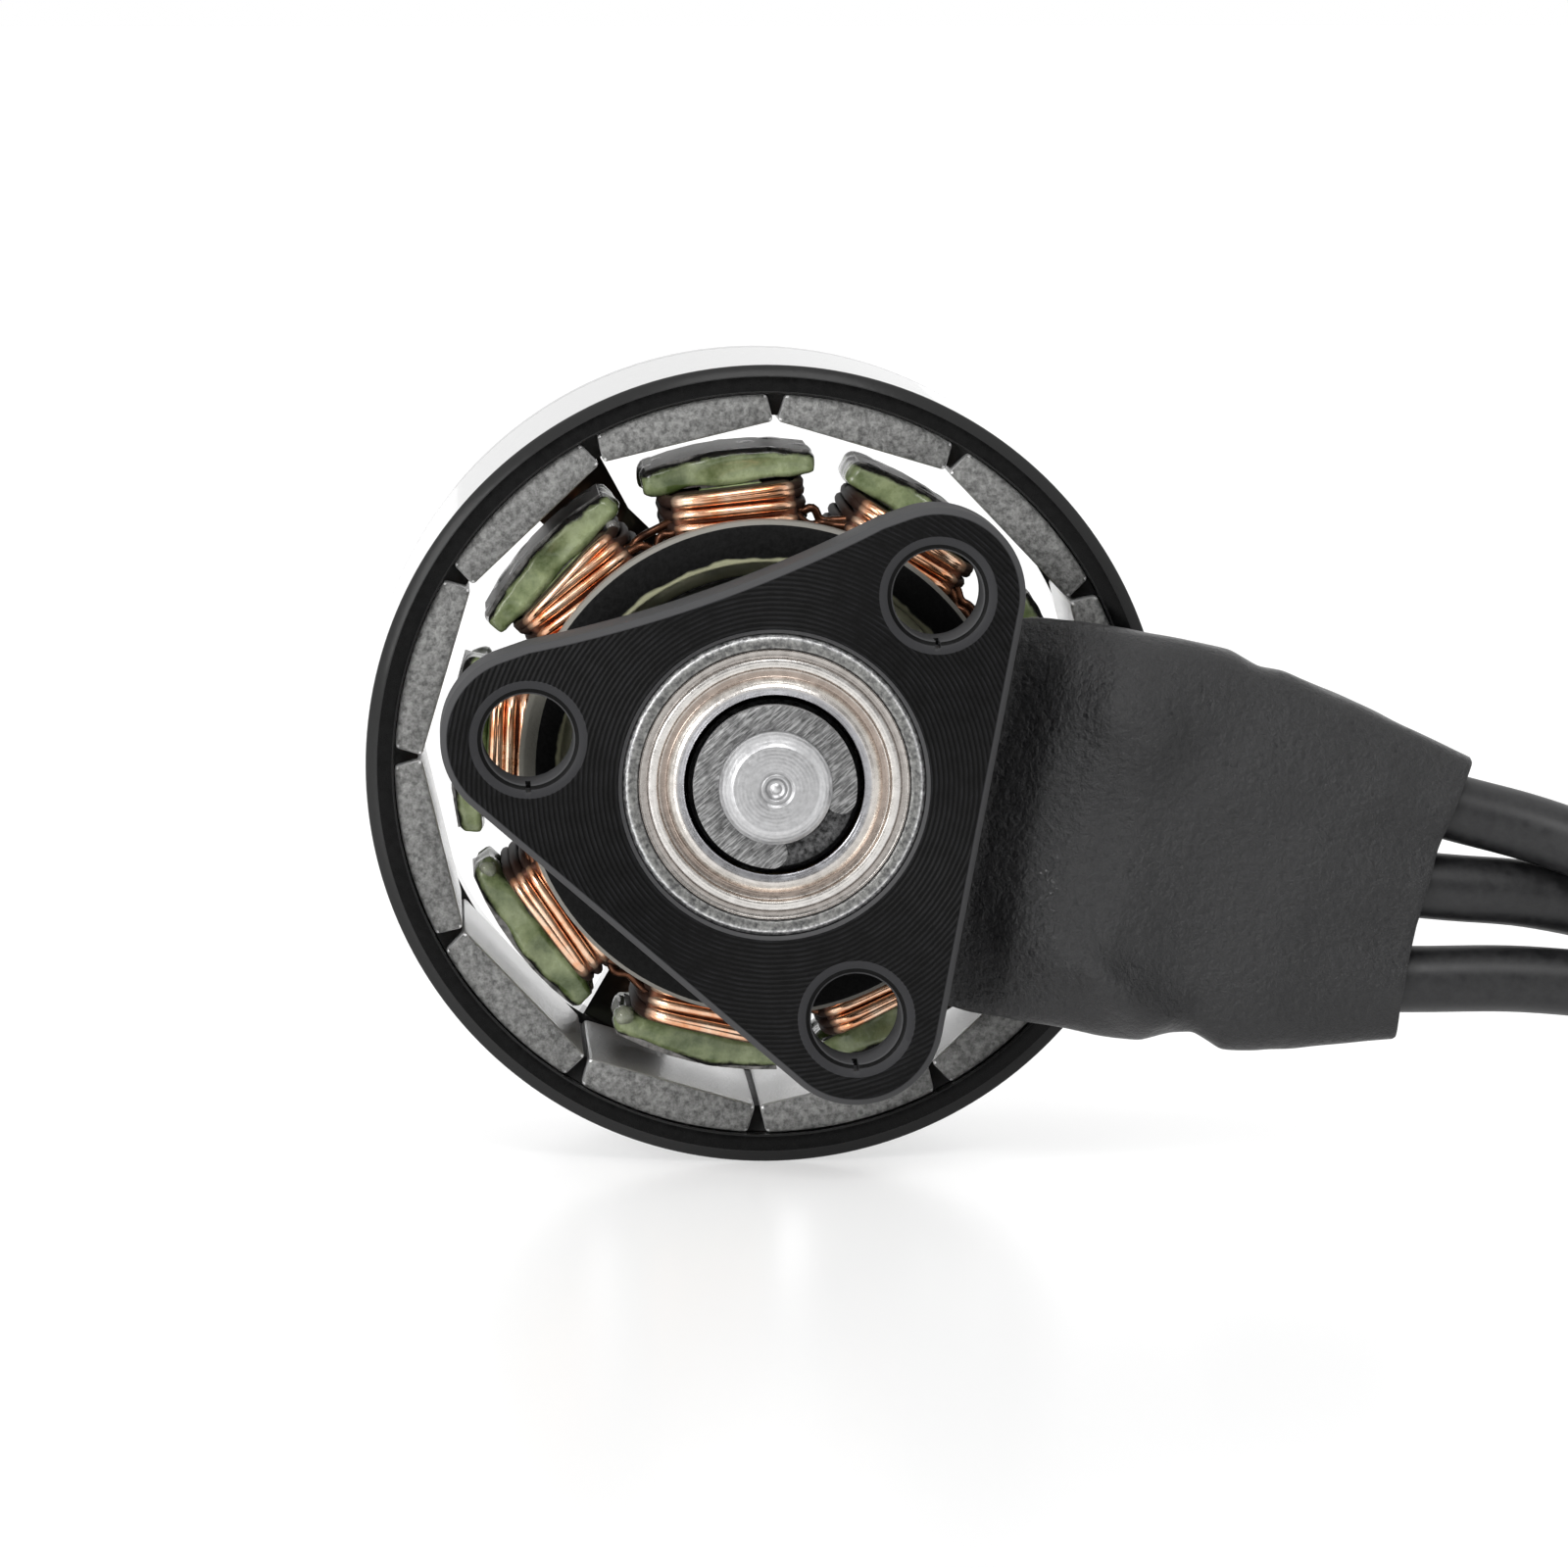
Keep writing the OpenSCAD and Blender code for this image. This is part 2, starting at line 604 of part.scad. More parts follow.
// Thin steel shim between the upper bearing and the hub
module shim() {
    color([0.7, 0.7, 0.72]) washer(shim_y, shim_t, shim_r, shaft_r + fit_gap);
}

// Outline of the cap's openings: rim, hub and three spokes that widen at both ends
module cap_outline() {
    root_w = spoke_w * spoke_root_share;
    spoke_mid_r = (hub_r + cap_in_r) / 2;
    difference() {
        circle(r = bell_r);
        circle(r = cap_in_r);
    }
    circle(r = hub_r);
    for (i = [0:spoke_count - 1]) rotate(spoke_angle + i * 2 * half_turn / spoke_count)
        polygon([[0, -root_w / 2], [hub_r, -root_w / 2], [spoke_mid_r, -spoke_w / 2],
            [bell_r - flux_wall, -root_w / 2], [bell_r - flux_wall, root_w / 2], [spoke_mid_r, spoke_w / 2],
            [hub_r, root_w / 2], [0, root_w / 2]]);
}

// Cap of the bell: a rim that seats in the flux ring, three sloping spokes and the hub on the shaft
module bell_cap() {
    bore_r = shaft_r + fit_gap;
    lip_r = flux_in_r - fit_gap;
    rim_top = cap_y + cap_side_h;
    hub_end = hub_y + hub_h;
    color([0.07, 0.07, 0.075]) intersection() {
        on_axis(0) rotate_extrude() polygon([[bore_r, hub_y], [tube_r, hub_y], [cap_in_r, cap_y],
            [cap_in_r, cap_y - lip_l], [lip_r, cap_y - lip_l], [lip_r, cap_y + fit_gap], [bell_r, cap_y + fit_gap],
            [bell_r, rim_top], [bell_r - cap_bevel, rim_top + cap_bevel], [cap_in_r, rim_top + cap_bevel],
            [hub_r, hub_y + web_t], [hub_r, hub_end - hub_bevel], [hub_r - hub_bevel, hub_end],
            [bore_r, hub_end]]);
        slab(rim_y, flux_h + hub_h + hub_h) cap_outline();
    }
}

// Steel flux ring of the bell, bevelled along the outer edge of its rim
module flux_ring() {
    color([0.09, 0.09, 0.095]) on_axis(rim_y) rotate_extrude()
        polygon([[flux_in_r, 0], [bell_r - flux_bevel, 0], [bell_r, flux_bevel], [bell_r, flux_h],
            [flux_in_r, flux_h]]);
}

// One magnet: flat face to the stator, round face to the flux ring, small bevels at its outer corners
module magnet(i) {
    end_r = sqrt(pow(magnet_out_r, 2) - pow(magnet_half_w, 2)) - magnet_corner / 2;
    color([0.5, 0.51, 0.52]) slab(rim_y + magnet_inset, magnet_h)
        rotate(first_magnet_angle + (i - 1) * magnet_pitch) intersection() {
            circle(r = magnet_out_r);
            polygon([[magnet_flat_r, -magnet_half_w], [end_r, -magnet_half_w],
                [end_r + magnet_corner, magnet_corner - magnet_half_w], [bell_r, magnet_corner - magnet_half_w],
                [bell_r, magnet_half_w - magnet_corner], [end_r + magnet_corner, magnet_half_w - magnet_corner],
                [end_r, magnet_half_w], [magnet_flat_r, magnet_half_w]]);
        }
}

base();
insulator_ring();
stator_core();
stator_coating();
coil(1);  // coil_1
coil(2);  // coil_2
coil(3);  // coil_3
coil(4);  // coil_4
coil(5);  // coil_5
coil(6);  // coil_6
coil(7);  // coil_7
coil(8);  // coil_8
coil(9);  // coil_9
jumper_wires();
winding_tails();
heat_shrink();
solder_joints();
lead(lead_a_points);  // lead_a
lead(lead_b_points);  // lead_b
lead(lead_c_points);  // lead_c
lead_tips();
outer_ring(lower_bearing_y);  // lower_bearing_outer_ring
inner_ring(lower_bearing_y);  // lower_bearing_inner_ring
shields(lower_bearing_y);  // lower_bearing_shields
balls(lower_bearing_y);  // lower_bearing_balls
cage(lower_bearing_y);  // lower_bearing_cage
outer_ring(upper_bearing_y);  // upper_bearing_outer_ring
inner_ring(upper_bearing_y);  // upper_bearing_inner_ring
shields(upper_bearing_y);  // upper_bearing_shields
balls(upper_bearing_y);  // upper_bearing_balls
cage(upper_bearing_y);  // upper_bearing_cage
shaft();
retaining_clip();
shim();
bell_cap();
flux_ring();
magnet(1);  // magnet_1
magnet(2);  // magnet_2
magnet(3);  // magnet_3
magnet(4);  // magnet_4
magnet(5);  // magnet_5
magnet(6);  // magnet_6
magnet(7);  // magnet_7
magnet(8);  // magnet_8
magnet(9);  // magnet_9
magnet(10);  // magnet_10
magnet(11);  // magnet_11
magnet(12);  // magnet_12
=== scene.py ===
import math
import random

import bpy
from mathutils import Matrix, Vector, noise


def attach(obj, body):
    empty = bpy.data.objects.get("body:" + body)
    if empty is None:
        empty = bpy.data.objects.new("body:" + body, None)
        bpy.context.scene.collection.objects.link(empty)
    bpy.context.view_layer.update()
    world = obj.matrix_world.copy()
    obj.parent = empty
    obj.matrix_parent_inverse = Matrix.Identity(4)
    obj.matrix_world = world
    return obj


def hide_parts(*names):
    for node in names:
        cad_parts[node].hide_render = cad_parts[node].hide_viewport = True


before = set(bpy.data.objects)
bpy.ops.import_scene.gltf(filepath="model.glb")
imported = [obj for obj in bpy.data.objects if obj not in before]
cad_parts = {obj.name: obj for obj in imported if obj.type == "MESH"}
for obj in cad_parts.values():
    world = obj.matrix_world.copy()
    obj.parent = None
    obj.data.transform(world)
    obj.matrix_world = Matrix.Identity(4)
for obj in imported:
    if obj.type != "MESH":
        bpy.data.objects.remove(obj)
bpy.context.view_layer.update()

# Camera: about 105 mm from the mounting face, a little above and to the left of the motor's axis,
# aimed so that the shaft's end lies just left of the middle of the picture.
MM = 0.001
VIEW_WIDTH = 20.65 * MM
CAMERA_DISTANCE = 105 * MM
CAMERA_AZIMUTH = math.radians(-2.6)
CAMERA_ELEVATION = math.radians(6.3)
AIM_RIGHT, AIM_UP = 0.123 * MM, 0.019 * MM
forward = Vector((-math.sin(CAMERA_AZIMUTH) * math.cos(CAMERA_ELEVATION),
                  math.cos(CAMERA_AZIMUTH) * math.cos(CAMERA_ELEVATION), -math.sin(CAMERA_ELEVATION)))
right = forward.cross(Vector((0, 0, 1))).normalized()
aim = right * AIM_RIGHT + right.cross(forward) * AIM_UP
camera_data = bpy.data.cameras.new("camera")
camera_data.sensor_width = 36
camera_data.lens = camera_data.sensor_width * CAMERA_DISTANCE / VIEW_WIDTH
camera_data.clip_start = 10 * MM
camera = bpy.data.objects.new("camera", camera_data)
bpy.context.scene.collection.objects.link(camera)
camera.location = aim - forward * CAMERA_DISTANCE
camera.rotation_euler = forward.to_track_quat("-Z", "Y").to_euler()
bpy.context.scene.camera = camera
bpy.context.scene.view_settings.view_transform = "Standard"

# Leads: three soft silicone leads, pushed into the sleeve at one end and cut bare at the other.
# They run down to the table and lie there in one flat coil, side by side.
PER_MM = 1 / MM
LEAD_R = 0.45
COIL_CENTRE, COIL_LEAD_L, COIL_STEPS = (18.5, 6.2), 21, 16
LEAD_POINTS = {
    "a": [(7.3, 1.3, 0), (9.2, 1.3, -0.5), (10.4, 1.2, -0.83), (11.5, 0.9, -1.25), (12.6, 0.6, -1.9),
          (13.8, 0.4, -2.8), (15, 0.3, -3.75), (16.2, 0.3, -4.5), (17.4, 0.3, -4.88), (18.5, 0.3, -4.95)],
    "b": [(7, 1.3, -1.35), (8.95, 1.3, -1.55), (10.4, 1.5, -1.72), (11.7, 1.8, -2.1), (13, 2.05, -2.8),
          (14.3, 2.1, -3.65), (15.6, 2.1, -4.4), (17, 2.1, -4.85), (18.5, 2.1, -4.95)],
    "c": [(6.7, 1.3, -2.8), (8.6, 1.3, -2.8), (10.4, 1.3, -2.83), (11.9, 1.25, -3.05), (13.3, 1.2, -3.55),
          (14.6, 1.2, -4.15), (15.9, 1.2, -4.65), (17.2, 1.2, -4.9), (18.5, 1.2, -4.95)]}
SILICONE_GRAIN = (0.008, 0.008, 0.009), (0.022, 0.022, 0.023)
TIN_GRAIN = (0.42, 0.42, 0.44), (0.68, 0.68, 0.7)


def add_node(tree, kind, inputs=None, **options):
    """Adds a shader node, sets its options, and fills its inputs with numbers, colours or other nodes' outputs."""
    made = tree.nodes.new("ShaderNode" + kind)
    for name, value in options.items():
        setattr(made, name, value)
    for name, value in (inputs or {}).items():
        if isinstance(value, bpy.types.NodeSocket):
            tree.links.new(value, made.inputs[name])
        else:
            made.inputs[name].default_value = value
    return made


def calc(tree, operation, *values):
    """The result of one Math node, with its values in order."""
    return add_node(tree, "Math", dict(enumerate(values)), operation=operation).outputs[0]


def share_between(tree, value, low, high):
    """How far a value has come from low to high, from 0 to 1."""
    return add_node(tree, "MapRange", {"Value": value, "From Min": low, "From Max": high}).outputs[0]


def spot_on(tree, unit=1.0):
    """The place on the surface, in metres, or in millimetres where the unit is PER_MM."""
    spot = add_node(tree, "TexCoord").outputs["Object"]
    return spot if unit == 1.0 else add_node(tree, "VectorMath", {0: spot, "Scale": unit}, operation="SCALE").outputs[0]


COLOR, NUMBER = "NodeSocketColor", "NodeSocketFloat"


def effect_group(name, inputs, outputs):
    """An empty node group with its named inputs and outputs. Returns its tree, what comes in and what goes out."""
    group = bpy.data.node_groups.new(name, "ShaderNodeTree")
    for label, value in inputs.items():
        kind = COLOR if isinstance(value, tuple) else NUMBER
        group.interface.new_socket(label, in_out="INPUT", socket_type=kind).default_value = value
    for label, kind in outputs.items():
        group.interface.new_socket(label, in_out="OUTPUT", socket_type=kind)
    return group, group.nodes.new("NodeGroupInput").outputs, group.nodes.new("NodeGroupOutput").inputs


# Grain: two colours mottled at a given number of grains a millimetre, with roughness and relief to match
grain, grain_in, grain_out = effect_group(
    "grain", {"Dark": (0, 0, 0, 1), "Light": (1, 1, 1, 1), "Per mm": 10.0, "Roughness": 0.5, "Spread": 0.1},
    {"Color": COLOR, "Roughness": NUMBER, "Height": NUMBER})
mottle = add_node(grain, "TexNoise", {"Vector": spot_on(grain, PER_MM), "Scale": grain_in["Per mm"], "Detail": 5.0,
                                      "Roughness": 0.65})
share = share_between(grain, mottle.outputs[0], 0.35, 0.65)
tone = add_node(grain, "Mix", {"Factor": share, 6: grain_in["Dark"], 7: grain_in["Light"]}, data_type="RGBA")
swing = calc(grain, "MULTIPLY_ADD", share, grain_in["Spread"], grain_in["Roughness"])
grain.links.new(tone.outputs[2], grain_out["Color"])
grain.links.new(swing, grain_out["Roughness"])
grain.links.new(share, grain_out["Height"])


def shader_of(material):
    """The Principled shader of a material."""
    return material.node_tree.nodes["Principled BSDF"]


def rgba(tone):
    """A colour or a grey level, in the form that a node takes."""
    return (*(tone if isinstance(tone, tuple) else (tone,) * 3), 1)


def grained(name, tones, per_mm, roughness, metallic=0.0, spread=0.1, relief=0.002):
    """A material whose colour, roughness and relief follow a grain of a dark and a light tone. Relief is in
    millimetres."""
    made = bpy.data.materials.new(name)
    made.use_nodes = True
    tree, shader = made.node_tree, shader_of(made)
    shader.inputs["Metallic"].default_value = metallic
    source = add_node(tree, "Group", {"Dark": rgba(tones[0]), "Light": rgba(tones[1]), "Per mm": per_mm,
                                      "Roughness": roughness, "Spread": spread}, node_tree=grain)
    bump = add_node(tree, "Bump", {"Height": source.outputs["Height"], "Distance": relief * MM})
    tree.links.new(source.outputs["Color"], shader.inputs["Base Color"])
    tree.links.new(source.outputs["Roughness"], shader.inputs["Roughness"])
    tree.links.new(bump.outputs[0], shader.inputs["Normal"])
    return made


def dress(node_name, material):
    """Gives a CAD node its finish."""
    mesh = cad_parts[node_name].data
    mesh.materials.clear()
    mesh.materials.append(material)


def lead_route(points):
    """The chosen points of a lead, then its arc of the coil on the table."""
    last = points[-1]
    r = COIL_CENTRE[1] - last[1]
    turns = [i * COIL_LEAD_L / COIL_STEPS / r for i in range(1, COIL_STEPS + 1)]
    return points + [(COIL_CENTRE[0] + r * math.sin(a), COIL_CENTRE[1] - r * math.cos(a), last[2]) for a in turns]


def bent_round(name, points, r, steps, sides):
    """A round strand along points, as a curve. Steps is how many lie between two points."""
    curve = bpy.data.curves.new(name, "CURVE")
    curve.dimensions = "3D"
    curve.bevel_depth, curve.bevel_resolution, curve.resolution_u = r, sides, steps
    curve.use_fill_caps = True
    spline = curve.splines.new("BEZIER")
    spline.bezier_points.add(len(points) - 1)
    for knot, p in zip(spline.bezier_points, points):
        knot.co = p
        knot.handle_left_type = knot.handle_right_type = "AUTO"
    strand = bpy.data.objects.new(name, curve)
    bpy.context.scene.collection.objects.link(strand)
    return strand


silicone = grained("silicone", SILICONE_GRAIN, 6.0, 0.38, relief=0.001)
tin = grained("tinned_copper", TIN_GRAIN, 8.0, 0.25, metallic=1.0)
dress("lead_tips", tin)
for name, points in LEAD_POINTS.items():
    route = [Vector(p) * MM for p in lead_route(points)]
    lead = bent_round("lead_" + name + "_cover", route, LEAD_R * MM, steps=8, sides=10)
    lead.data.materials.append(silicone)
    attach(lead, "stator")
    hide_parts("lead_" + name)

# Base: the three-lobed mounting plate and the tube behind it that carries both bearings, turned from one
# bar of aluminium with fine rings left on its face. The plate is milled to shape, with a slightly hollow upper
# left edge, then drilled, tapped and anodised black.
PLATE_T, PLATE_BEVEL, LOBE_R = 1.2, 0.09, 1.16
SCREW_CIRCLE_R, SCREW_R, SCREW_STEP_R, SCREW_STEP_Y, SCREW_MOUTH_R = 3.3, 0.6, 0.67, 0.0635, 0.78
THREAD_PITCH, THREAD_DEPTH, THREAD_COUNT = 0.24, 0.06, 5
HOLE_ANGLES = [math.radians(a) for a in (49.2, 169.2, 289.2)]
SEAT_R, TUBE_BORE_R, TUBE_R, SHOULDER_R = 2.01, 1.7, 2.31, 2.51
SEAT_END_Y, UPPER_SEAT_Y, TUBE_END_Y, SHOULDER_Y = 1.22, 5.98, 7.14, 3.08
# The cones that bevel the bore and sink the screw holes start in front of the plate, by the OUT values
BORE_BEVEL, BORE_OUT, SINK_OUT_R, SINK_OUT_Y, THREAD_LEAD_IN = 0.05, 0.5, 0.52, 0.3, 0.03
EDGE_SOFTNESS = 0.015
WAIST_R, WAIST_DEPTH = 18.0, 0.17
ANODISED_GRAIN = 0.001, 0.004
# Painted light: a highlight tone for the crests of the turning rings, then greys that paint the reflection of the
# bright room on the chamfers, and on the bevels and walls
GROOVE_PAINTED_HIGHLIGHT, CHAMFER_PAINTED_SHEEN = (0.017, 0.017, 0.019), (0.05, 0.05, 0.053)
WALL_PAINTED_SHEEN, ANODISED_IOR = (0.1, 0.1, 0.103), 1.22
NICK_W, NICK_L = 0.07, 0.1


def deselect():
    bpy.ops.object.select_all(action="DESELECT")


def activate(piece):
    """Selects one piece alone, ready for an operator."""
    deselect()
    piece.select_set(True)
    bpy.context.view_layer.objects.active = piece


def settle(piece):
    """Moves a piece's place, turn and scale into its mesh."""
    activate(piece)
    bpy.ops.object.transform_apply(location=True, rotation=True, scale=True)


def edit_all():
    """Opens the mesh of the active piece, with all of it selected."""
    bpy.ops.object.mode_set(mode="EDIT")
    bpy.ops.mesh.select_all(action="SELECT")


def close_outwards():
    """Turns every face of the open mesh outwards and closes it."""
    bpy.ops.mesh.select_all(action="SELECT")
    bpy.ops.mesh.normals_make_consistent(inside=False)
    bpy.ops.object.mode_set(mode="OBJECT")


def turned(name, outline, steps=128, hollow=True):
    """A piece turned on the motor's axis, in millimetres: a circle at the outline's first point is drawn out
    from point to point. A hollow piece closes on its first circle, and a solid one gets a flat end each side."""
    deselect()
    (r, y), *rest = outline
    bpy.ops.mesh.primitive_circle_add(vertices=steps, radius=r, location=(0, y, 0), rotation=(math.pi / 2, 0, 0))
    piece = bpy.context.object
    piece.name = name
    settle(piece)
    edit_all()
    if not hollow:
        bpy.ops.mesh.edge_face_add()
    for next_r, next_y in rest + ([outline[0]] if hollow else []):
        bpy.ops.mesh.extrude_region_move(TRANSFORM_OT_translate={"value": (0, next_y - y, 0)})
        bpy.ops.transform.resize(value=(next_r / r, 1, next_r / r), center_override=(0, next_y, 0))
        r, y = next_r, next_y
    bpy.ops.mesh.select_all(action="SELECT")
    bpy.ops.mesh.remove_doubles(threshold=0.0005)
    close_outwards()
    return piece


def block(name, size, place):
    """A block of a size in millimetres with its middle at a place, to be worked on."""
    deselect()
    bpy.ops.mesh.primitive_cube_add(size=1)
    made = bpy.context.object
    made.name = name
    made.scale, made.location = size, place
    settle(made)
    return made


def work(piece, kind, **settings):
    """Works a piece with one modifier, and applies it."""
    modifier = piece.modifiers.new(kind, kind)
    for name, value in settings.items():
        setattr(modifier, name, value)
    activate(piece)
    bpy.ops.object.modifier_apply(modifier=modifier.name)


def combine(piece, tool, operation="DIFFERENCE"):
    """Cuts a tool piece from a piece, joins it on, or keeps what both share."""
    work(piece, "BOOLEAN", object=tool, operation=operation, solver="EXACT")
    bpy.data.objects.remove(tool)


def break_edges(piece, width, segments=2, angle=40):
    """Bevels the sharp edges of a piece."""
    work(piece, "BEVEL", width=width, segments=segments, limit_method="ANGLE", angle_limit=math.radians(angle))


def joined(pieces, name):
    """Several pieces made into one."""
    deselect()
    for piece in pieces:
        piece.select_set(True)
    bpy.context.view_layer.objects.active = pieces[0]
    if len(pieces) > 1:
        bpy.ops.object.join()
    pieces[0].name = name
    return pieces[0]


def moved(piece, angle=0.0, place=(0, 0, 0), name=None):
    """Moves a piece, then turns it about the motor's axis, from +X towards +Z, and can name it."""
    piece.matrix_world = Matrix.Rotation(-angle, 4, "Y") @ Matrix.Translation(place)
    settle(piece)
    piece.name = name or piece.name
    return piece


def copy_at(piece, angle=0.0, place=(0, 0, 0), name=None):
    """A copy with its own mesh, moved, turned and named the same way."""
    twin = piece.copy()
    twin.data = piece.data.copy()
    bpy.context.scene.collection.objects.link(twin)
    return moved(twin, angle, place, name)


def around(r, y, angle):
    """The place at a distance from the motor's axis, a height along it and an angle round it."""
    return r * math.cos(angle), y, r * math.sin(angle)


def fit(piece, body, slot, material, *nodes, smooth=35):
    """Brings a finished piece from millimetres to its place in the model and gives it its finish."""
    piece.scale = (MM, MM, MM)
    settle(piece)
    bpy.ops.object.shade_smooth_by_angle(angle=math.radians(smooth))
    work(piece, "WEIGHTED_NORMAL", keep_sharp=True)
    piece.data.materials.clear()
    piece.data.materials.append(material)
    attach(piece, body)
    if nodes:
        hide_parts(*nodes)
    return piece


# Sides: a mask for the faces that don't look along the motor's axis, such as bevels and walls.
# Radius: the distance from the motor's axis, in millimetres.
sides, sides_in, sides_out = effect_group("sides", {"Squareness": 0.9}, {"Mask": NUMBER})
facing = add_node(sides, "NewGeometry").outputs["True Normal"]
facing = add_node(sides, "VectorMath", {0: facing, 1: (0, 1, 0)}, operation="DOT_PRODUCT").outputs["Value"]
mask = calc(sides, "LESS_THAN", calc(sides, "ABSOLUTE", facing), sides_in["Squareness"])
sides.links.new(mask, sides_out["Mask"])
radius, _, radius_out = effect_group("radius", {}, {"Distance": NUMBER})
flat = add_node(radius, "VectorMath", {0: spot_on(radius), 1: (PER_MM, 0, PER_MM)}, operation="MULTIPLY").outputs[0]
distance = add_node(radius, "VectorMath", {0: flat}, operation="LENGTH").outputs["Value"]
radius.links.new(distance, radius_out["Distance"])


def off_axis(tree):
    """The distance of the surface from the motor's axis, in millimetres."""
    return add_node(tree, "Group", node_tree=radius).outputs["Distance"]


def sides_mask(tree, squareness):
    """A mask of the faces whose normal leans from the axis more than the squareness allows."""
    return add_node(tree, "Group", {"Squareness": squareness}, node_tree=sides).outputs["Mask"]


def tint(material, factor, color, blend="MIX"):
    """Lays another colour over a material's own where the factor, from 0 to 1, is high."""
    socket = shader_of(material).inputs["Base Color"]
    color = color if isinstance(color, bpy.types.NodeSocket) else rgba(color)
    mixed = add_node(material.node_tree, "Mix", {"Factor": factor, 6: socket.links[0].from_socket, 7: color},
                     data_type="RGBA", blend_type=blend)
    material.node_tree.links.new(mixed.outputs[2], socket)
    return material


def polish(material, factor, roughness):
    """Gives a material another roughness where the factor is high."""
    socket = shader_of(material).inputs["Roughness"]
    mixed = add_node(material.node_tree, "Mix", {"Factor": factor, 2: socket.links[0].from_socket, 3: roughness})
    material.node_tree.links.new(mixed.outputs[0], socket)


def emboss(material, height, depth):
    """Lays a height over a material's own relief. Its depth is in millimetres."""
    socket = shader_of(material).inputs["Normal"]
    bump = add_node(material.node_tree, "Bump", {"Height": height, "Distance": depth * MM,
                                                 "Normal": socket.links[0].from_socket})
    material.node_tree.links.new(bump.outputs[0], socket)


def tint_sides(material, color, roughness=None, squareness=0.9):
    """Gives the faces that don't look along the axis another colour and roughness, such as a painted highlight or
    reflection.
    """
    mask = sides_mask(material.node_tree, squareness)
    if roughness is not None:
        polish(material, mask, roughness)
    return tint(material, mask, color)


# Turning rings: the fine grooves that a lathe tool leaves round the axis, on faces in front of Reach. Height is
# their relief, and Line is a mask of their crests, where a painted highlight can be laid.
rings, rings_in, rings_out = effect_group("turning_rings", {"Per mm": 9.0, "Wander": 0.2, "Reach": 100.0},
                                          {"Height": NUMBER, "Line": NUMBER})
spot = spot_on(rings, PER_MM)
along = add_node(rings, "SeparateXYZ", {0: spot}).outputs["Y"]
reached = calc(rings, "LESS_THAN", along, rings_in["Reach"])
drift = add_node(rings, "TexNoise", {"Vector": spot, "Scale": 1.5, "Detail": 2.0}).outputs[0]
turns = calc(rings, "MULTIPLY", off_axis(rings), rings_in["Per mm"])
turns = calc(rings, "MULTIPLY_ADD", drift, rings_in["Wander"], turns)
wave = calc(rings, "SINE", calc(rings, "MULTIPLY", turns, 2 * math.pi))
uneven = add_node(rings, "TexNoise", {"Vector": spot, "Scale": 4.0, "Detail": 4.0}).outputs[0]
uneven = share_between(rings, uneven, 0.35, 0.65)
crest = calc(rings, "MULTIPLY", share_between(rings, wave, 0.3, 1.0), uneven)
crest = calc(rings, "MULTIPLY", crest, reached)
rings.links.new(calc(rings, "MULTIPLY", wave, reached), rings_out["Height"])
rings.links.new(crest, rings_out["Line"])


def add_rings(material, per_mm, wander, relief, line=None, reach=100.0):
    """Adds turning rings to a material's relief, in millimetres, with a painted highlight of a colour on the crests."""
    source = add_node(material.node_tree, "Group", {"Per mm": per_mm, "Wander": wander, "Reach": reach},
                      node_tree=rings)
    emboss(material, source.outputs["Height"], relief)
    if line is not None:
        tint(material, source.outputs["Line"], line)
    return material


deselect()
lobes = []
for angle in HOLE_ANGLES:
    bpy.ops.mesh.primitive_cylinder_add(vertices=128, radius=LOBE_R, depth=PLATE_T, rotation=(math.pi / 2, 0, 0),
                                        location=around(SCREW_CIRCLE_R, PLATE_T / 2, angle))
    lobes.append(bpy.context.object)
    settle(lobes[-1])
plate = joined(lobes, "base_plate")
edit_all()
bpy.ops.mesh.convex_hull()
bpy.ops.mesh.select_all(action="SELECT")
bpy.ops.mesh.dissolve_limited(angle_limit=math.radians(0.5))
bpy.ops.object.mode_set(mode="OBJECT")
waist_angle = (HOLE_ANGLES[0] + HOLE_ANGLES[1]) / 2
waist_place = SCREW_CIRCLE_R / 2 + LOBE_R - WAIST_DEPTH + WAIST_R
waist = turned("waist", [(WAIST_R, -1), (WAIST_R, PLATE_T + 1)], steps=720, hollow=False)
combine(plate, moved(waist, waist_angle, (waist_place, 0, 0)))
break_edges(plate, PLATE_BEVEL, segments=1, angle=60)
break_edges(plate, EDGE_SOFTNESS, angle=30)
tube = turned("tube", [(TUBE_R, TUBE_END_Y), (TUBE_R, SHOULDER_Y), (SHOULDER_R, SHOULDER_Y),
                       (SHOULDER_R, PLATE_T / 2)], hollow=False)
combine(plate, tube, "UNION")
bore = turned("bore", [(SEAT_R + BORE_OUT, BORE_BEVEL - BORE_OUT), (SEAT_R, BORE_BEVEL), (SEAT_R, SEAT_END_Y),
                       (TUBE_BORE_R, SEAT_END_Y), (TUBE_BORE_R, UPPER_SEAT_Y), (SEAT_R, UPPER_SEAT_Y),
                       (SEAT_R, TUBE_END_Y + 1)], hollow=False)
combine(plate, bore)
tap_outline = [(SCREW_MOUTH_R + SINK_OUT_R, -SINK_OUT_Y), (SCREW_STEP_R, SCREW_STEP_Y),
               (SCREW_R + 0.02, SCREW_STEP_Y + 0.01), (SCREW_R, SCREW_STEP_Y + THREAD_LEAD_IN)]
for i in range(THREAD_COUNT):
    start = SCREW_STEP_Y + THREAD_LEAD_IN + i * THREAD_PITCH
    tap_outline += [(SCREW_R + THREAD_DEPTH, start + THREAD_PITCH / 2), (SCREW_R, start + THREAD_PITCH)]
tap_outline.append((SCREW_R, PLATE_T + 1))
tap = turned("tap", tap_outline, steps=96, hollow=False)
for angle in HOLE_ANGLES:
    combine(plate, copy_at(tap, angle, (SCREW_CIRCLE_R, 0, 0)))
bpy.data.objects.remove(tap)
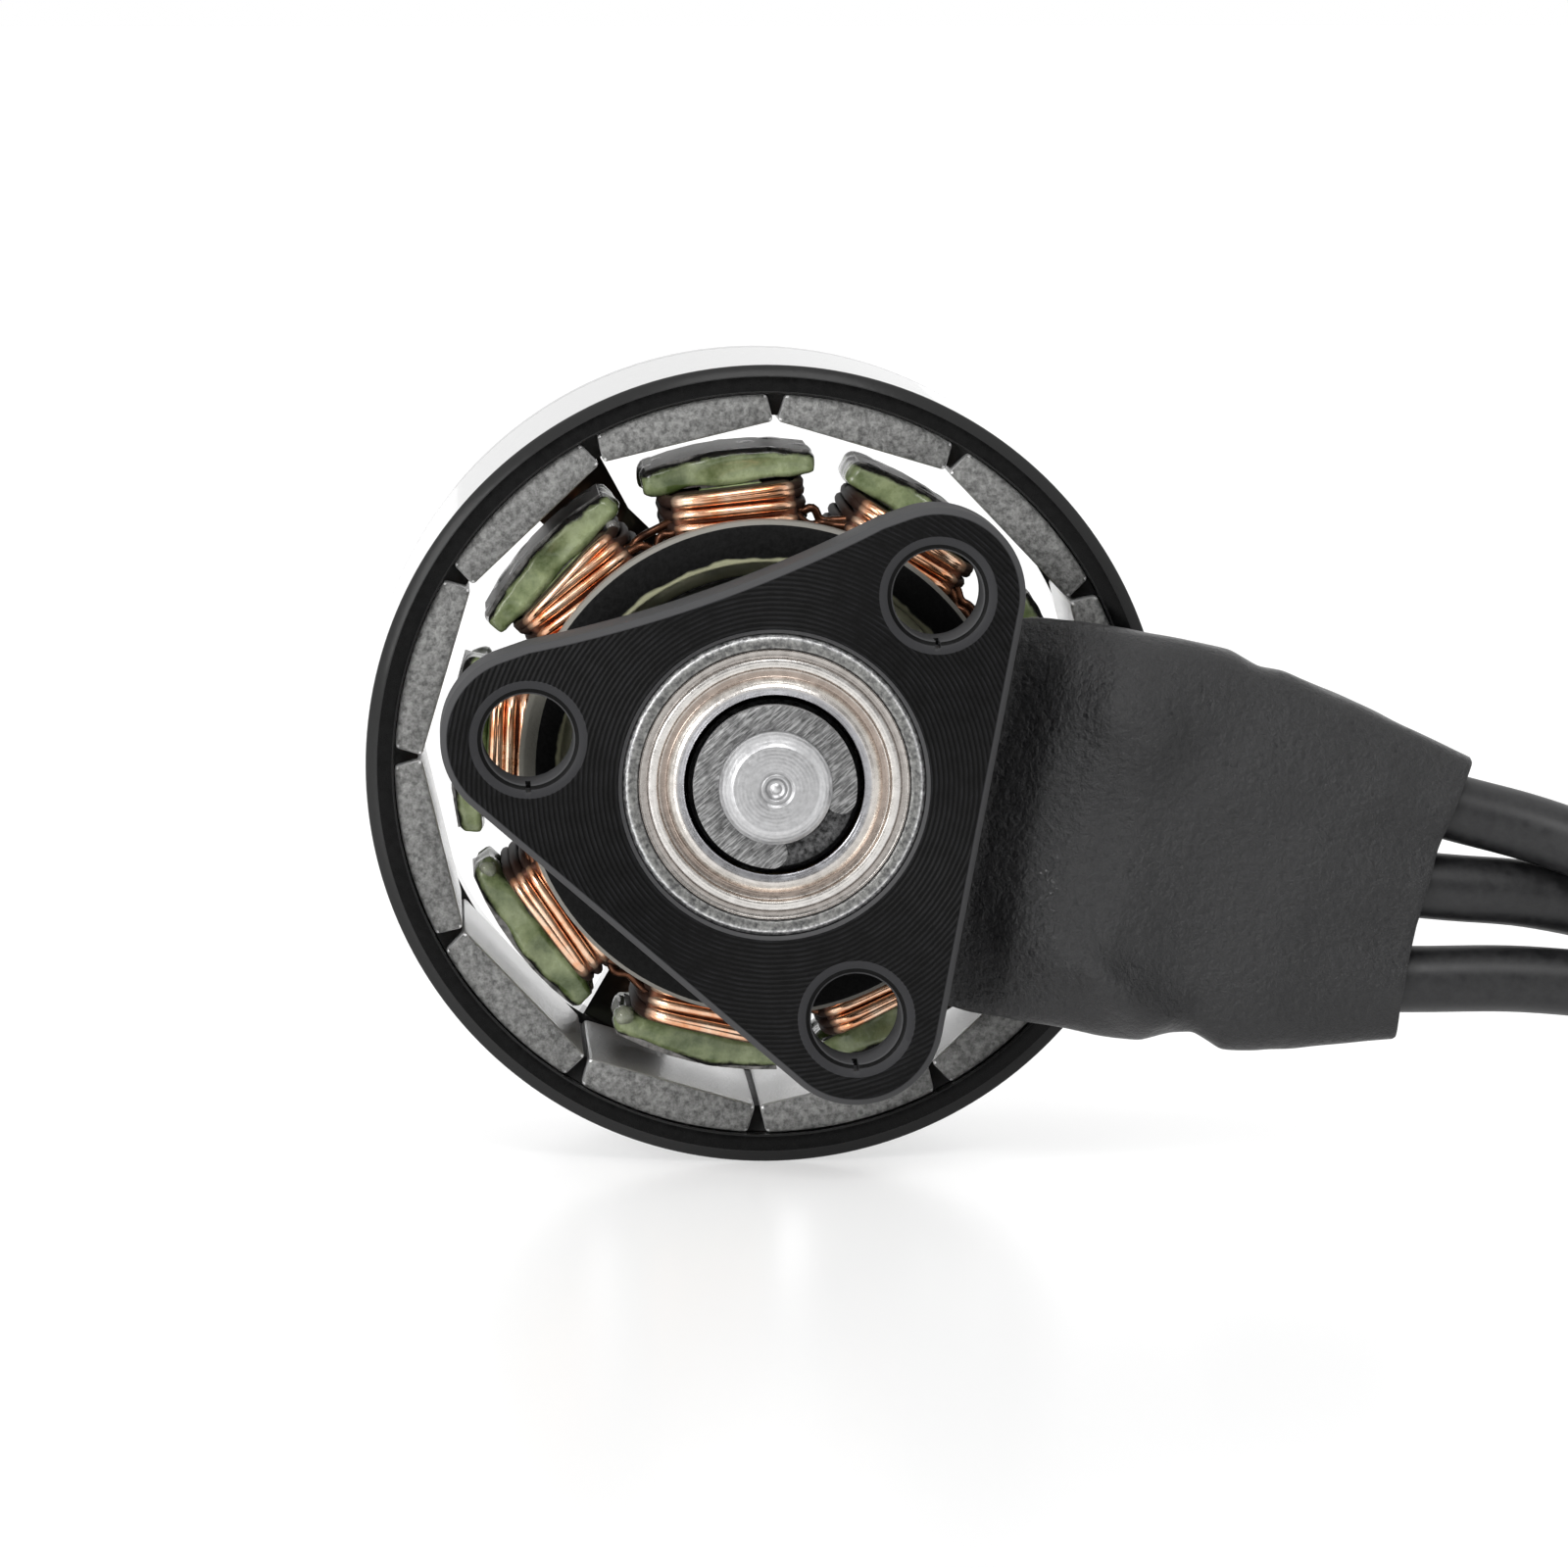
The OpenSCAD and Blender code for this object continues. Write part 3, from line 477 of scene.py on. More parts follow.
for angle in HOLE_ANGLES:
    x, y, z = around(SCREW_CIRCLE_R, 0, angle)
    combine(plate, block("nick", (NICK_W, PLATE_T, NICK_L), (x, y, z - SCREW_R - NICK_L / 2)))
black_anodised = add_rings(grained("black_anodised", ANODISED_GRAIN, 25.0, 0.35, relief=0.001),
                           per_mm=15.0, wander=0.15, relief=0.005, line=GROOVE_PAINTED_HIGHLIGHT, reach=0.005)
shader_of(black_anodised).inputs["IOR"].default_value = ANODISED_IOR
# Painted reflection: the chamfers, and then the steeper bevels and walls, are given lighter greys for the bright room
# they mirror.
tint_sides(black_anodised, CHAMFER_PAINTED_SHEEN, roughness=0.4, squareness=0.9)
tint_sides(black_anodised, WALL_PAINTED_SHEEN, roughness=0.5, squareness=0.8)
fit(plate, "stator", "black_anodised", black_anodised, "base", smooth=30)

# Bearings: a ball bearing in each end of the tube. The lower one shows its outer ring, a pressed shield with
# stepped rings and, through the opening of the clip, its inner ring. The upper one is hidden behind the hub.
BEARING_Y = 0.02
OUTER_RING = [(1.82, 0.01), (1.95, 0.0), (2.0, 0.05), (2.0, 1.15), (1.95, 1.2), (1.66, 1.2), (1.66, 0.12),
              (1.8, 0.12), (1.8, 0.03)]
SHIELD = [(1.79, 0.04), (1.77, 0.07), (1.69, 0.075), (1.66, 0.035), (1.64, 0.03), (1.56, 0.03), (1.54, 0.06),
          (1.53, 0.11), (1.44, 0.12), (1.42, 0.11), (1.37, 0.05), (1.3, 0.015), (1.27, 0.02), (1.19, 0.03),
          (1.19, 0.1), (1.38, 0.17), (1.79, 0.17)]
INNER_RING = [(0.765, 0.03), (0.8, 0.0), (1.1, 0.0), (1.14, 0.04), (1.14, 1.16), (1.1, 1.2), (0.8, 1.2),
              (0.765, 1.17)]
STEEL_GRAIN = (0.62, 0.62, 0.64), (0.86, 0.86, 0.87)
OUTER_GRAIN, INNER_GRAIN = ((0.3, 0.3, 0.31), (0.95, 0.95, 0.94)), (0.1, STEEL_GRAIN[1])
SHIELD_GRAIN = (0.72, 0.7, 0.68), (0.97, 0.95, 0.93)
# Light and shade painted by radius: the tones copy how bright each step, groove and bevel of the shield and the outer
# ring look, as painted highlights and painted shade. The inner ring's tones are painted shade.
SHIELD_LIGHT_AND_SHADE = [(1.17, (0.45, 0.46, 0.5)), (1.27, (0.5, 0.51, 0.54)), (1.3, (0.76, 0.74, 0.72)),
                (1.38, (0.74, 0.71, 0.67)), (1.42, (0.5, 0.42, 0.37)), (1.5, (0.42, 0.36, 0.32)),
                (1.53, (0.75, 0.72, 0.69)), (1.6, (0.9, 0.89, 0.87)), (1.65, (0.8, 0.79, 0.78)),
                (1.68, (0.45, 0.42, 0.4)), (1.76, (0.55, 0.53, 0.51)), (1.79, 0.95)]
OUTER_LIGHT_AND_SHADE = [(1.8, 0.2), (1.82, (0.4, 0.4, 0.39)), (1.86, (0.3, 0.3, 0.29)), (1.92, (0.42, 0.42, 0.41)),
               (1.945, 1.0), (2.0, 1.0)]
INNER_PAINTED_SHADE = [(0.75, 0.16), (0.95, 0.22), (1.07, 0.1), (1.085, 0.01), (1.14, 0.01)]
BRASS_GRAIN = (0.42, 0.3, 0.13), (0.66, 0.5, 0.26)


def paint_light_by_radius(material, tones):
    """Multiplies a material's colour by tones set at distances from the axis, in millimetres, that paint light and
    shade.
    """
    tree = material.node_tree
    first, last = tones[0][0], tones[-1][0]
    share = share_between(tree, off_axis(tree), first, last)
    ramp = tree.nodes.new("ShaderNodeValToRGB")
    for i, (r, tone) in enumerate(tones):
        at = (r - first) / (last - first)
        stop = ramp.color_ramp.elements[i] if i < 2 else ramp.color_ramp.elements.new(at)
        stop.position, stop.color = at, rgba(tone)
    tree.links.new(share, ramp.inputs[0])
    return tint(material, 1.0, ramp.outputs[0], "MULTIPLY")


def lowered(outline, y):
    """An outline moved along the axis."""
    return [(r, y + along) for r, along in outline]


bearing_steel = grained("bearing_steel", STEEL_GRAIN, 14.0, 0.25, metallic=1.0, relief=0.001)
outer_steel = paint_light_by_radius(grained("outer_ring_steel", OUTER_GRAIN, 15.0, 0.3, metallic=1.0, relief=0.004),
                             OUTER_LIGHT_AND_SHADE)
inner_steel = paint_light_by_radius(grained("inner_ring_steel", INNER_GRAIN, 14.0, 0.3, metallic=1.0, relief=0.012),
                             INNER_PAINTED_SHADE)
shield_steel = add_rings(grained("shield_steel", SHIELD_GRAIN, 9.0, 0.22, metallic=1.0, relief=0.001),
                         per_mm=24.0, wander=0.4, relief=0.0006)
paint_light_by_radius(shield_steel, SHIELD_LIGHT_AND_SHADE)
cage_brass = grained("cage_brass", BRASS_GRAIN, 8.0, 0.3, metallic=1.0)
outer_ring = turned("lower_bearing_outer_face", lowered(OUTER_RING, BEARING_Y))
break_edges(outer_ring, 0.008)
fit(outer_ring, "stator", "bearing_steel", outer_steel, "lower_bearing_outer_ring")
shield = turned("lower_bearing_shield_face", lowered(SHIELD, BEARING_Y))
break_edges(shield, 0.006, angle=25)
fit(shield, "stator", "shield_steel", shield_steel, "lower_bearing_shields", smooth=50)
inner_ring = turned("lower_bearing_inner_face", lowered(INNER_RING, BEARING_Y))
fit(inner_ring, "rotor", "bearing_steel", inner_steel, "lower_bearing_inner_ring")
for end in ("lower", "upper"):
    dress(end + "_bearing_balls", bearing_steel)
    dress(end + "_bearing_cage", cage_brass)
for part in ("outer_ring", "inner_ring"):
    dress("upper_bearing_" + part, bearing_steel)
dress("upper_bearing_shields", shield_steel)

# Shaft: ground hardened steel with bevelled ends, a clip groove, a glue groove and a centre dimple. It is
# pressed and glued into the hub and turns in both bearings. The propeller goes on its long end.
SHAFT = [(0.02, -0.45), (0.05, -0.44), (0.08, -0.42), (0.12, -0.44), (0.15, -0.485), (0.18, -0.49), (0.2, -0.475),
         (0.22, -0.485), (0.24, -0.5), (0.57, -0.5), (0.74, -0.36), (0.75, -0.34), (0.75, -0.23), (0.66, -0.23),
         (0.66, -0.01), (0.75, -0.01), (0.75, 8.25), (0.59, 8.25), (0.59, 8.85), (0.75, 8.85), (0.75, 13.06),
         (0.61, 13.2)]
SHAFT_GRAIN = (0.68, 0.68, 0.69), (0.88, 0.88, 0.89)
# Painted light and shade by radius: a lighter bevel at the end of the shaft and darker rings in its centre dimple.
SHAFT_LIGHT_AND_SHADE = [(0, 0.85), (0.08, 0.66), (0.12, 0.5), (0.16, 0.62), (0.2, 0.42), (0.24, 0.66), (0.555, 0.68),
               (0.575, 0.85), (0.74, 0.85)]
shaft = turned("shaft_ground", SHAFT, steps=96, hollow=False)
break_edges(shaft, 0.01, angle=25)
shaft_steel = add_rings(grained("shaft_steel", SHAFT_GRAIN, 12.0, 0.32, metallic=1.0, relief=0.0015),
                        per_mm=20.0, wander=0.5, relief=0.0006)
paint_light_by_radius(shaft_steel, SHAFT_LIGHT_AND_SHADE)
fit(shaft, "rotor", "shaft_steel", shaft_steel, "shaft")
dress("shim", shaft_steel)

# Clip: an open ring of spring steel with round ends, stamped flat and left with scratches across it.
# It snaps into the shaft's groove and stops the rotor from sliding out of the bearings.
CLIP_IN_R, CLIP_OUT_R, CLIP_Y, CLIP_T = 0.67, 1.08, -0.22, 0.2
CLIP_OPEN_ANGLE, CLIP_OPEN_HALF = math.radians(-51.5), math.radians(41.5)
CLIP_GRAIN, CLIP_EDGE_HIGHLIGHT = (0.08, 0.24), 0.95
SCRATCH_COLOR, SCRATCH_TURN, SCRATCH_SIZE = 0.52, math.radians(50), (0.022, 1, 0.2)
STREAKS_FROM, STREAKS_TO = 0.45, 0.7
clip_w = CLIP_OUT_R - CLIP_IN_R
clip_mid_r = CLIP_IN_R + clip_w / 2
clip_mid_y = CLIP_Y + CLIP_T / 2
deselect()
bpy.ops.mesh.primitive_plane_add(size=1, location=(clip_mid_r, clip_mid_y, 0))
clip = bpy.context.object
clip.name = "clip_spring"
clip.scale = (clip_w, CLIP_T, 1)
settle(clip)
edit_all()
bpy.ops.mesh.spin(steps=120, angle=2 * (math.pi - CLIP_OPEN_HALF), center=(0, 0, 0), axis=(0, 1, 0))
close_outwards()
moved(clip, CLIP_OPEN_ANGLE + CLIP_OPEN_HALF)
# The round ends are a hair smaller than the ring, so that no two faces fall together
bpy.ops.mesh.primitive_cylinder_add(vertices=47, radius=clip_w * 0.499, depth=CLIP_T * 0.99,
                                    location=(clip_mid_r, clip_mid_y, 0), rotation=(math.pi / 2, 0.03, 0))
clip_end = bpy.context.object
settle(clip_end)
for side in (-1, 1):
    combine(clip, copy_at(clip_end, CLIP_OPEN_ANGLE + side * CLIP_OPEN_HALF), "UNION")
bpy.data.objects.remove(clip_end)
break_edges(clip, 0.02, angle=50)
clip_steel = grained("clip_steel", CLIP_GRAIN, 9.0, 0.35, metallic=1.0, relief=0.003)
tree = clip_steel.node_tree
spot = add_node(tree, "Mapping", {"Vector": spot_on(tree, PER_MM), "Rotation": (0, SCRATCH_TURN, 0),
                                  "Scale": SCRATCH_SIZE}, vector_type="TEXTURE").outputs[0]
streaks = add_node(tree, "TexNoise", {"Vector": spot, "Scale": 1.0, "Detail": 4.0}).outputs[0]
tint(clip_steel, share_between(tree, streaks, STREAKS_FROM, STREAKS_TO), SCRATCH_COLOR)
# Painted highlight: the clip's edges are given a near-white colour.
tint_sides(clip_steel, CLIP_EDGE_HIGHLIGHT, squareness=0.8)
fit(clip, "rotor", "clip_steel", clip_steel, "retaining_clip")

# Insulating ring: a moulded black ring that lies on the heads of the coils and keeps them off the plate.
# Its face is dull and dusty, and its outer bevel is painted light grey as a highlight. Pale resin is smeared over
# its outer edge under the left-hand screw hole, and an olive band of painted light on its inner edge stands in
# for the lit yoke coat behind it.
INSULATOR = [(2.8, 2.02), (3.28, 2.02), (3.34, 2.08), (3.34, 2.42), (2.78, 2.42), (2.78, 2.04)]
INSULATOR_GRAIN = 0.004, 0.011
RING_EDGE_R, RING_EDGE_HIGHLIGHT = 3.285, (0.38, 0.365, 0.33)
RESIN_SPOT, RESIN_SPOT_R = (-3.24 * MM, 2.02 * MM, 0.62 * MM), 0.75 * MM
RESIN_R, RESIN_PALE = 3.12, (0.32, 0.31, 0.27)
# A fray: bumps a millimetre, their detail and depth. Then the radii where its colour starts and where it is full.
RING_INNER_LIGHT_FRAY, RING_INNER_LIGHT_R, RING_INNER_PAINTED_LIGHT = (2, 2.0, 0.2), (2.96, 2.93), (0.55, 0.55, 0.36)


def frayed_edge(tree, per_mm, detail, depth, start_r, full_r):
    """A mask with an uneven edge between two distances from the axis, in millimetres."""
    uneven = add_node(tree, "TexNoise", {"Vector": spot_on(tree), "Scale": per_mm / MM, "Detail": detail}).outputs[0]
    reach = calc(tree, "MULTIPLY_ADD", uneven, depth, off_axis(tree))
    return share_between(tree, reach, start_r, full_r)


insulator = turned("insulator_moulding", INSULATOR, steps=160)
break_edges(insulator, 0.012, angle=25)
black_plastic = grained("black_plastic", INSULATOR_GRAIN, 18.0, 0.42, relief=0.004)
shader_of(black_plastic).inputs["IOR"].default_value = ANODISED_IOR
tree = black_plastic.node_tree
# Painted highlight on the outer bevel
tint(black_plastic, calc(tree, "GREATER_THAN", off_axis(tree), RING_EDGE_R), RING_EDGE_HIGHLIGHT)
apart = add_node(tree, "VectorMath", {0: spot_on(tree), 1: RESIN_SPOT}, operation="DISTANCE").outputs["Value"]
near = calc(tree, "LESS_THAN", apart, RESIN_SPOT_R)
tint(black_plastic, calc(tree, "MULTIPLY", near, calc(tree, "GREATER_THAN", off_axis(tree), RESIN_R)), RESIN_PALE)
# Painted light: an olive band with a frayed edge on the inner edge, standing in for the lit yoke coat behind the ring
tint(black_plastic, frayed_edge(tree, *RING_INNER_LIGHT_FRAY, *RING_INNER_LIGHT_R), RING_INNER_PAINTED_LIGHT)
fit(insulator, "stator", "black_plastic", black_plastic, "insulator_ring")

# Stator stack: ten punched steel laminations pressed together, dark at their cut edges. The stack itself is
# the CAD solid, and its stripes are the edges of the sheets.
SHEET_T, SEAM_DEPTH = 0.2, 0.003
SHEET_GRAIN = (0.06, 0.06, 0.058), (0.3, 0.29, 0.28)
lamination_steel = grained("lamination_steel", SHEET_GRAIN, 7.0, 0.3, metallic=1.0, relief=0.002)
tree = lamination_steel.node_tree
axial = add_node(tree, "SeparateXYZ", {0: spot_on(tree)}).outputs["Y"]
sheets = calc(tree, "MULTIPLY", axial, 2 * math.pi / (SHEET_T * MM))
emboss(lamination_steel, calc(tree, "COSINE", sheets), SEAM_DEPTH)
dress("stator_core", lamination_steel)

# Coating: thick olive green epoxy that wraps every tooth and the yoke, and leaves only the round outer faces
# of the tooth tips bare. It is dipped, so that each tip is a soft, glossy, uneven bar. It keeps the wire off
# the steel.
TOOTH_COUNT = 9
FIRST_TOOTH = math.radians(17)
TOOTH_STEP = 2 * math.pi / TOOTH_COUNT
STACK_MID_Y = 4.2
TIP_IN_R, TIP_OUT_R, TIP_HALF_W = 3.765, 4.215, 1.16
TIP_HALF_H, NECK_HALF_H, NECK_HALF_W = 1.15, 1.12, 0.44
TIP_GRID, TIP_ROUNDING = 0.05, 0.08
YOKE_COAT = [(2.53, 3.07), (2.56, 3.04), (2.74, 3.04), (2.79, 3.09), (2.79, 5.3), (2.74, 5.35), (2.56, 5.35),
             (2.53, 5.32)]
COAT_GRAIN = (0.09, 0.135, 0.035), (0.48, 0.56, 0.3)
COAT_EDGE_PAINTED_SHADE, COAT_EDGE_SHADE_FRAY, COAT_EDGE_SHADE_R = (0.01, 0.01, 0.009), (5, 3.0, 0.14), (4.22, 4.26)
COAT_GLOSS = 0.4
YOKE_PAINTED_LIGHT, YOKE_COLOR_R = (0.85, 0.86, 0.6), 2.9
COAT_SWELL, COAT_SWELL_SIZE = 0.09, 0.45


def swell(piece, strength, size, seed):
    """Pushes a mesh in and out by soft noise, as a dipped or shrunk surface is. Sizes are in millimetres."""
    shift = Vector((seed * 7.3, seed * 3.1, seed * 5.7))
    normals = [v.normal.copy() for v in piece.data.vertices]
    for v, normal in zip(piece.data.vertices, normals):
        v.co += normal * strength * noise.noise(v.co / size + shift)


tip = block("tip", (1, 2 * TIP_HALF_H, 2 * TIP_HALF_W), (TIP_IN_R + 0.5, STACK_MID_Y, 0))
tip_round = turned("tip_round", [(TIP_OUT_R, 2), (TIP_OUT_R, 7)], steps=240, hollow=False)
combine(tip, tip_round, "INTERSECT")
break_edges(tip, TIP_ROUNDING, segments=3, angle=50)
work(tip, "REMESH", mode="VOXEL", voxel_size=TIP_GRID)
neck = block("neck", (TIP_IN_R - YOKE_COAT[0][0], 2 * NECK_HALF_H, 2 * NECK_HALF_W),
             ((TIP_IN_R + YOKE_COAT[0][0]) / 2, STACK_MID_Y, 0))
break_edges(neck, 0.05, angle=50)
coat_pieces = []
for i in range(TOOTH_COUNT):
    tooth_angle = FIRST_TOOTH + i * TOOTH_STEP
    tip_here = copy_at(tip)
    swell(tip_here, COAT_SWELL, COAT_SWELL_SIZE, i + 1)
    coat_pieces += [moved(tip_here, tooth_angle), copy_at(neck, tooth_angle)]
bpy.data.objects.remove(tip)
bpy.data.objects.remove(neck)
yoke = turned("yoke", YOKE_COAT, steps=144)
coat = joined(coat_pieces + [yoke], "stator_epoxy")
green_epoxy = grained("green_epoxy", COAT_GRAIN, 1.7, 0.2, relief=0.004)
shader_of(green_epoxy).inputs["Coat Weight"].default_value = COAT_GLOSS
tree = green_epoxy.node_tree
# Painted light: the yoke's coat is given a pale colour to make up for the shade it lies in.
tint(green_epoxy, calc(tree, "LESS_THAN", off_axis(tree), YOKE_COLOR_R), YOKE_PAINTED_LIGHT)
# Painted shade: a frayed black line along the coat's outer edge, for the shading of its rounded rim.
tint(green_epoxy, frayed_edge(tree, *COAT_EDGE_SHADE_FRAY, *COAT_EDGE_SHADE_R), COAT_EDGE_PAINTED_SHADE)
fit(coat, "stator", "green_epoxy", green_epoxy, "stator_coating", smooth=50)

# Coils: each tooth carries enamelled copper wire, wound by hand in layers from the yoke to the tip. The outer
# layer is one unbroken, slightly uneven wire of six turns, and the layers below fill the coil's body.
COIL_IN_R, COIL_OUT_R = 2.85, 3.75
WIRE_R, WIRE_TURNS, WIRE_STEPS = 0.075, 6, 24
WIRE_HALF_W, WIRE_HALF_H, WIRE_SQUARENESS = 0.927, 1.655, 0.42
WIRE_START_R, WIRE_PITCH, WIRE_WANDER = 2.84, 0.163, 0.03
BODY_HALF_W, BODY_HALF_H = 0.84, 1.57
BODY_HOLE_HALF_W, BODY_HOLE_HALF_H = 0.45, 1.13
COPPER_GRAIN = (0.8, 0.33, 0.15), (1.0, 0.74, 0.55)
# Painted shade: the wire is darker, and duller, along the sides of the coils between the teeth
SLOT_PAINTED_SHADE, SLOT_SHADE_FROM, SLOT_SHADE_TO, SLOT_ROUGHNESS = (0.03, 0.012, 0.007), 1.62, 1.5, 0.6
COIL_SKEW = (0.03, -0.04, 0.01, 0.14, -0.03, 0.04, -0.05, 0.03, 0.06)
# Painted shade: the coil's body under the outer wire is given much darker copper tones, for the shade in the gaps
# between the turns.
BODY_PAINTED_SHADE = (0.16, 0.04, 0.015), (0.4, 0.14, 0.06)
random.seed(11)


def wire(name, points, r):
    """A round wire along points in millimetres, made a mesh."""
    activate(bent_round(name, points, r, steps=4, sides=3))
    bpy.ops.object.convert(target="MESH")
    return bpy.context.object


def turn_point(share):
    """Where the wire is after a share of one turn: across the tooth and along the motor's axis."""
    a = share * 2 * math.pi
    c, s = math.cos(a), math.sin(a)
    return (math.copysign(abs(c) ** WIRE_SQUARENESS, c) * WIRE_HALF_W,
            math.copysign(abs(s) ** WIRE_SQUARENESS, s) * WIRE_HALF_H)


def coil_wire(i):
    """The outer layer of one coil: a wire that climbs one pitch a turn, with small uneven shifts."""
    points = []
    for k in range(WIRE_TURNS * WIRE_STEPS + 1):
        across, along = turn_point(k / WIRE_STEPS)
        shift = WIRE_WANDER * noise.noise(Vector((k * 0.31, i * 4.7, 0.5))) + COIL_SKEW[i] * across
        r = WIRE_START_R + WIRE_PITCH * k / WIRE_STEPS + shift
        points.append((min(max(r, WIRE_START_R), COIL_OUT_R - WIRE_R), STACK_MID_Y + along, across))
    return wire("strand", points, WIRE_R)


def shade_in_slots(material):
    """Paints shade on the wire where it dips between the teeth, and makes it duller and less metallic there."""
    tree = material.node_tree
    along = add_node(tree, "SeparateXYZ", {0: spot_on(tree)}).outputs["Y"]
    depth = calc(tree, "ABSOLUTE", calc(tree, "MULTIPLY_ADD", along, PER_MM, -STACK_MID_Y))
    shaded = share_between(tree, depth, SLOT_SHADE_FROM, SLOT_SHADE_TO)
    tree.links.new(calc(tree, "SUBTRACT", 1.0, shaded), shader_of(material).inputs["Metallic"])
    polish(material, shaded, SLOT_ROUGHNESS)
    return tint(material, shaded, SLOT_PAINTED_SHADE)


enamelled_copper = shade_in_slots(grained("enamelled_copper", COPPER_GRAIN, 2.5, 0.18, metallic=1.0, relief=0.0))
wound_copper = shade_in_slots(grained("wound_copper", BODY_PAINTED_SHADE, 5.0, 0.35, metallic=0.9, relief=0.004))
coil_middle = ((COIL_IN_R + COIL_OUT_R) / 2, STACK_MID_Y, 0)
body = block("body", (COIL_OUT_R - COIL_IN_R, 2 * BODY_HALF_H, 2 * BODY_HALF_W), coil_middle)
break_edges(body, 0.12, segments=3, angle=50)
combine(body, block("hole", (2, 2 * BODY_HOLE_HALF_H, 2 * BODY_HOLE_HALF_W), coil_middle))
for i in range(TOOTH_COUNT):
    tooth_angle = FIRST_TOOTH + i * TOOTH_STEP
    node_name = "coil_%d" % (i + 1)
    layers = copy_at(body, tooth_angle, name=node_name + "_layers")
    fit(layers, "stator", "enamelled_copper", wound_copper, smooth=40)
    strand = moved(coil_wire(i), tooth_angle, name=node_name + "_wire")
    fit(strand, "stator", "enamelled_copper", enamelled_copper, node_name, smooth=60)
bpy.data.objects.remove(body)

# Wires between coils: each coil's wire goes on to the next coil along the edge of the insulating ring. They
# are the same wire, dark with baked varnish, laid by hand, and some leave a loop.
LINK_R, LINK_Y, LINK_WIRE_R, LINK_HALF_ANGLE = 3.42, 2.78, 0.06, math.radians(7.5)
LINK_STRANDS, LINK_OUT, LINK_UP, LINK_KNOTS = 2, 0.1, 0.13, 7
LINK_SAG, LINK_LIFT = (0.02, 0.16), (-0.05, 0.03)
LINK_GRAIN = (0.035, 0.014, 0.008), (0.2, 0.08, 0.04)
link_copper = grained("link_copper", LINK_GRAIN, 3.0, 0.2, metallic=0.8, relief=0.0)
links = []
for i in range(TOOTH_COUNT - 1):
    middle = FIRST_TOOTH + (i + 0.5) * TOOTH_STEP
    for strand in range(LINK_STRANDS):
        points = []
        for k in range(LINK_KNOTS):
            share = k / (LINK_KNOTS - 1) * 2 - 1
            sag = (1 - share * share) * random.uniform(*LINK_SAG)
            lift = (1 - share * share) * random.uniform(*LINK_LIFT)
            points.append(around(LINK_R - sag + LINK_OUT * strand, LINK_Y + LINK_UP * strand + lift,
                                 middle + share * LINK_HALF_ANGLE))
        links.append(wire("link", points, LINK_WIRE_R))
link = joined(links, "coil_links")
fit(link, "stator", "enamelled_copper", link_copper, "jumper_wires", smooth=60)

# Varnish: the wound stator is dipped in clear varnish and baked. It ran to the ends of some tooth tips and set
# there in small glossy drops.
# Drops: distance from the axis in millimetres, angle round it in degrees, and radius in millimetres
DROPS = [(4.03, 201.5, 0.12), (3.97, 241.0, 0.13), (3.8, 122.6, 0.09), (4.1, 27.7, 0.12)]
DROP_Y, DROP_SWELL, DROP_SWELL_SIZE = 3.1, 0.05, 0.2
VARNISH_LOOK = {"Base Color": (0.93, 0.92, 0.88, 1), "Roughness": 0.08, "Transmission Weight": 0.75}
varnish = bpy.data.materials.new("varnish")
varnish.use_nodes = True
for label, value in VARNISH_LOOK.items():
    shader_of(varnish).inputs[label].default_value = value
drops = []
for r, degrees, size in DROPS:
    bpy.ops.mesh.primitive_ico_sphere_add(subdivisions=4, radius=size,
                                          location=around(r, DROP_Y, math.radians(degrees)))
    drops.append(bpy.context.object)
    settle(drops[-1])
    swell(drops[-1], DROP_SWELL, DROP_SWELL_SIZE, len(drops))
fit(joined(drops, "varnish_drops"), "stator", "green_epoxy", varnish, smooth=80)

# Magnets: twelve bare blocks with a flat inner face and a round outer one, their edges painted near white as a
# highlight. They are glued into the flux ring side by side, and black glue fills the gaps behind and between them.
MAGNET_COUNT, MAGNET_Y, MAGNET_H = 12, 2.5, 3.8
MAGNET_FLAT_R, MAGNET_OUT_R, MAGNET_HALF_W = 4.49, 5.01, 1.175
FIRST_MAGNET = math.radians(13.5)
MAGNET_STEP = 2 * math.pi / MAGNET_COUNT
GLUE = [(4.7, 2.9), (5.015, 2.7), (5.015, 6.25), (4.7, 6.2)]
MAGNET_GRAIN, MAGNET_EDGE_HIGHLIGHT = ((0.12, 0.12, 0.117), (0.4, 0.4, 0.39)), 0.97
GLUE_GRAIN = 0.002, 0.008
magnet_grey = grained("magnet", MAGNET_GRAIN, 15.0, 0.5, metallic=0.4, relief=0.006)
tint_sides(magnet_grey, MAGNET_EDGE_HIGHLIGHT, roughness=0.18)
blank = block("blank", (1, MAGNET_H, 2 * MAGNET_HALF_W), (MAGNET_FLAT_R + 0.5, MAGNET_Y + MAGNET_H / 2, 0))
round_side = turned("round", [(MAGNET_OUT_R, MAGNET_Y - 1), (MAGNET_OUT_R, MAGNET_Y + MAGNET_H + 1)], steps=180,
                    hollow=False)
combine(blank, round_side, "INTERSECT")
break_edges(blank, 0.05, angle=30)
for i in range(MAGNET_COUNT):
    magnet = copy_at(blank, FIRST_MAGNET + i * MAGNET_STEP, name="magnet_%d_block" % (i + 1))
    fit(magnet, "rotor", "magnet", magnet_grey, "magnet_%d" % (i + 1))
bpy.data.objects.remove(blank)
glue = turned("magnet_glue", GLUE, steps=144)
glue_black = grained("magnet_glue", GLUE_GRAIN, 3.0, 0.5, relief=0.01)
fit(glue, "rotor", "black_steel", glue_black)

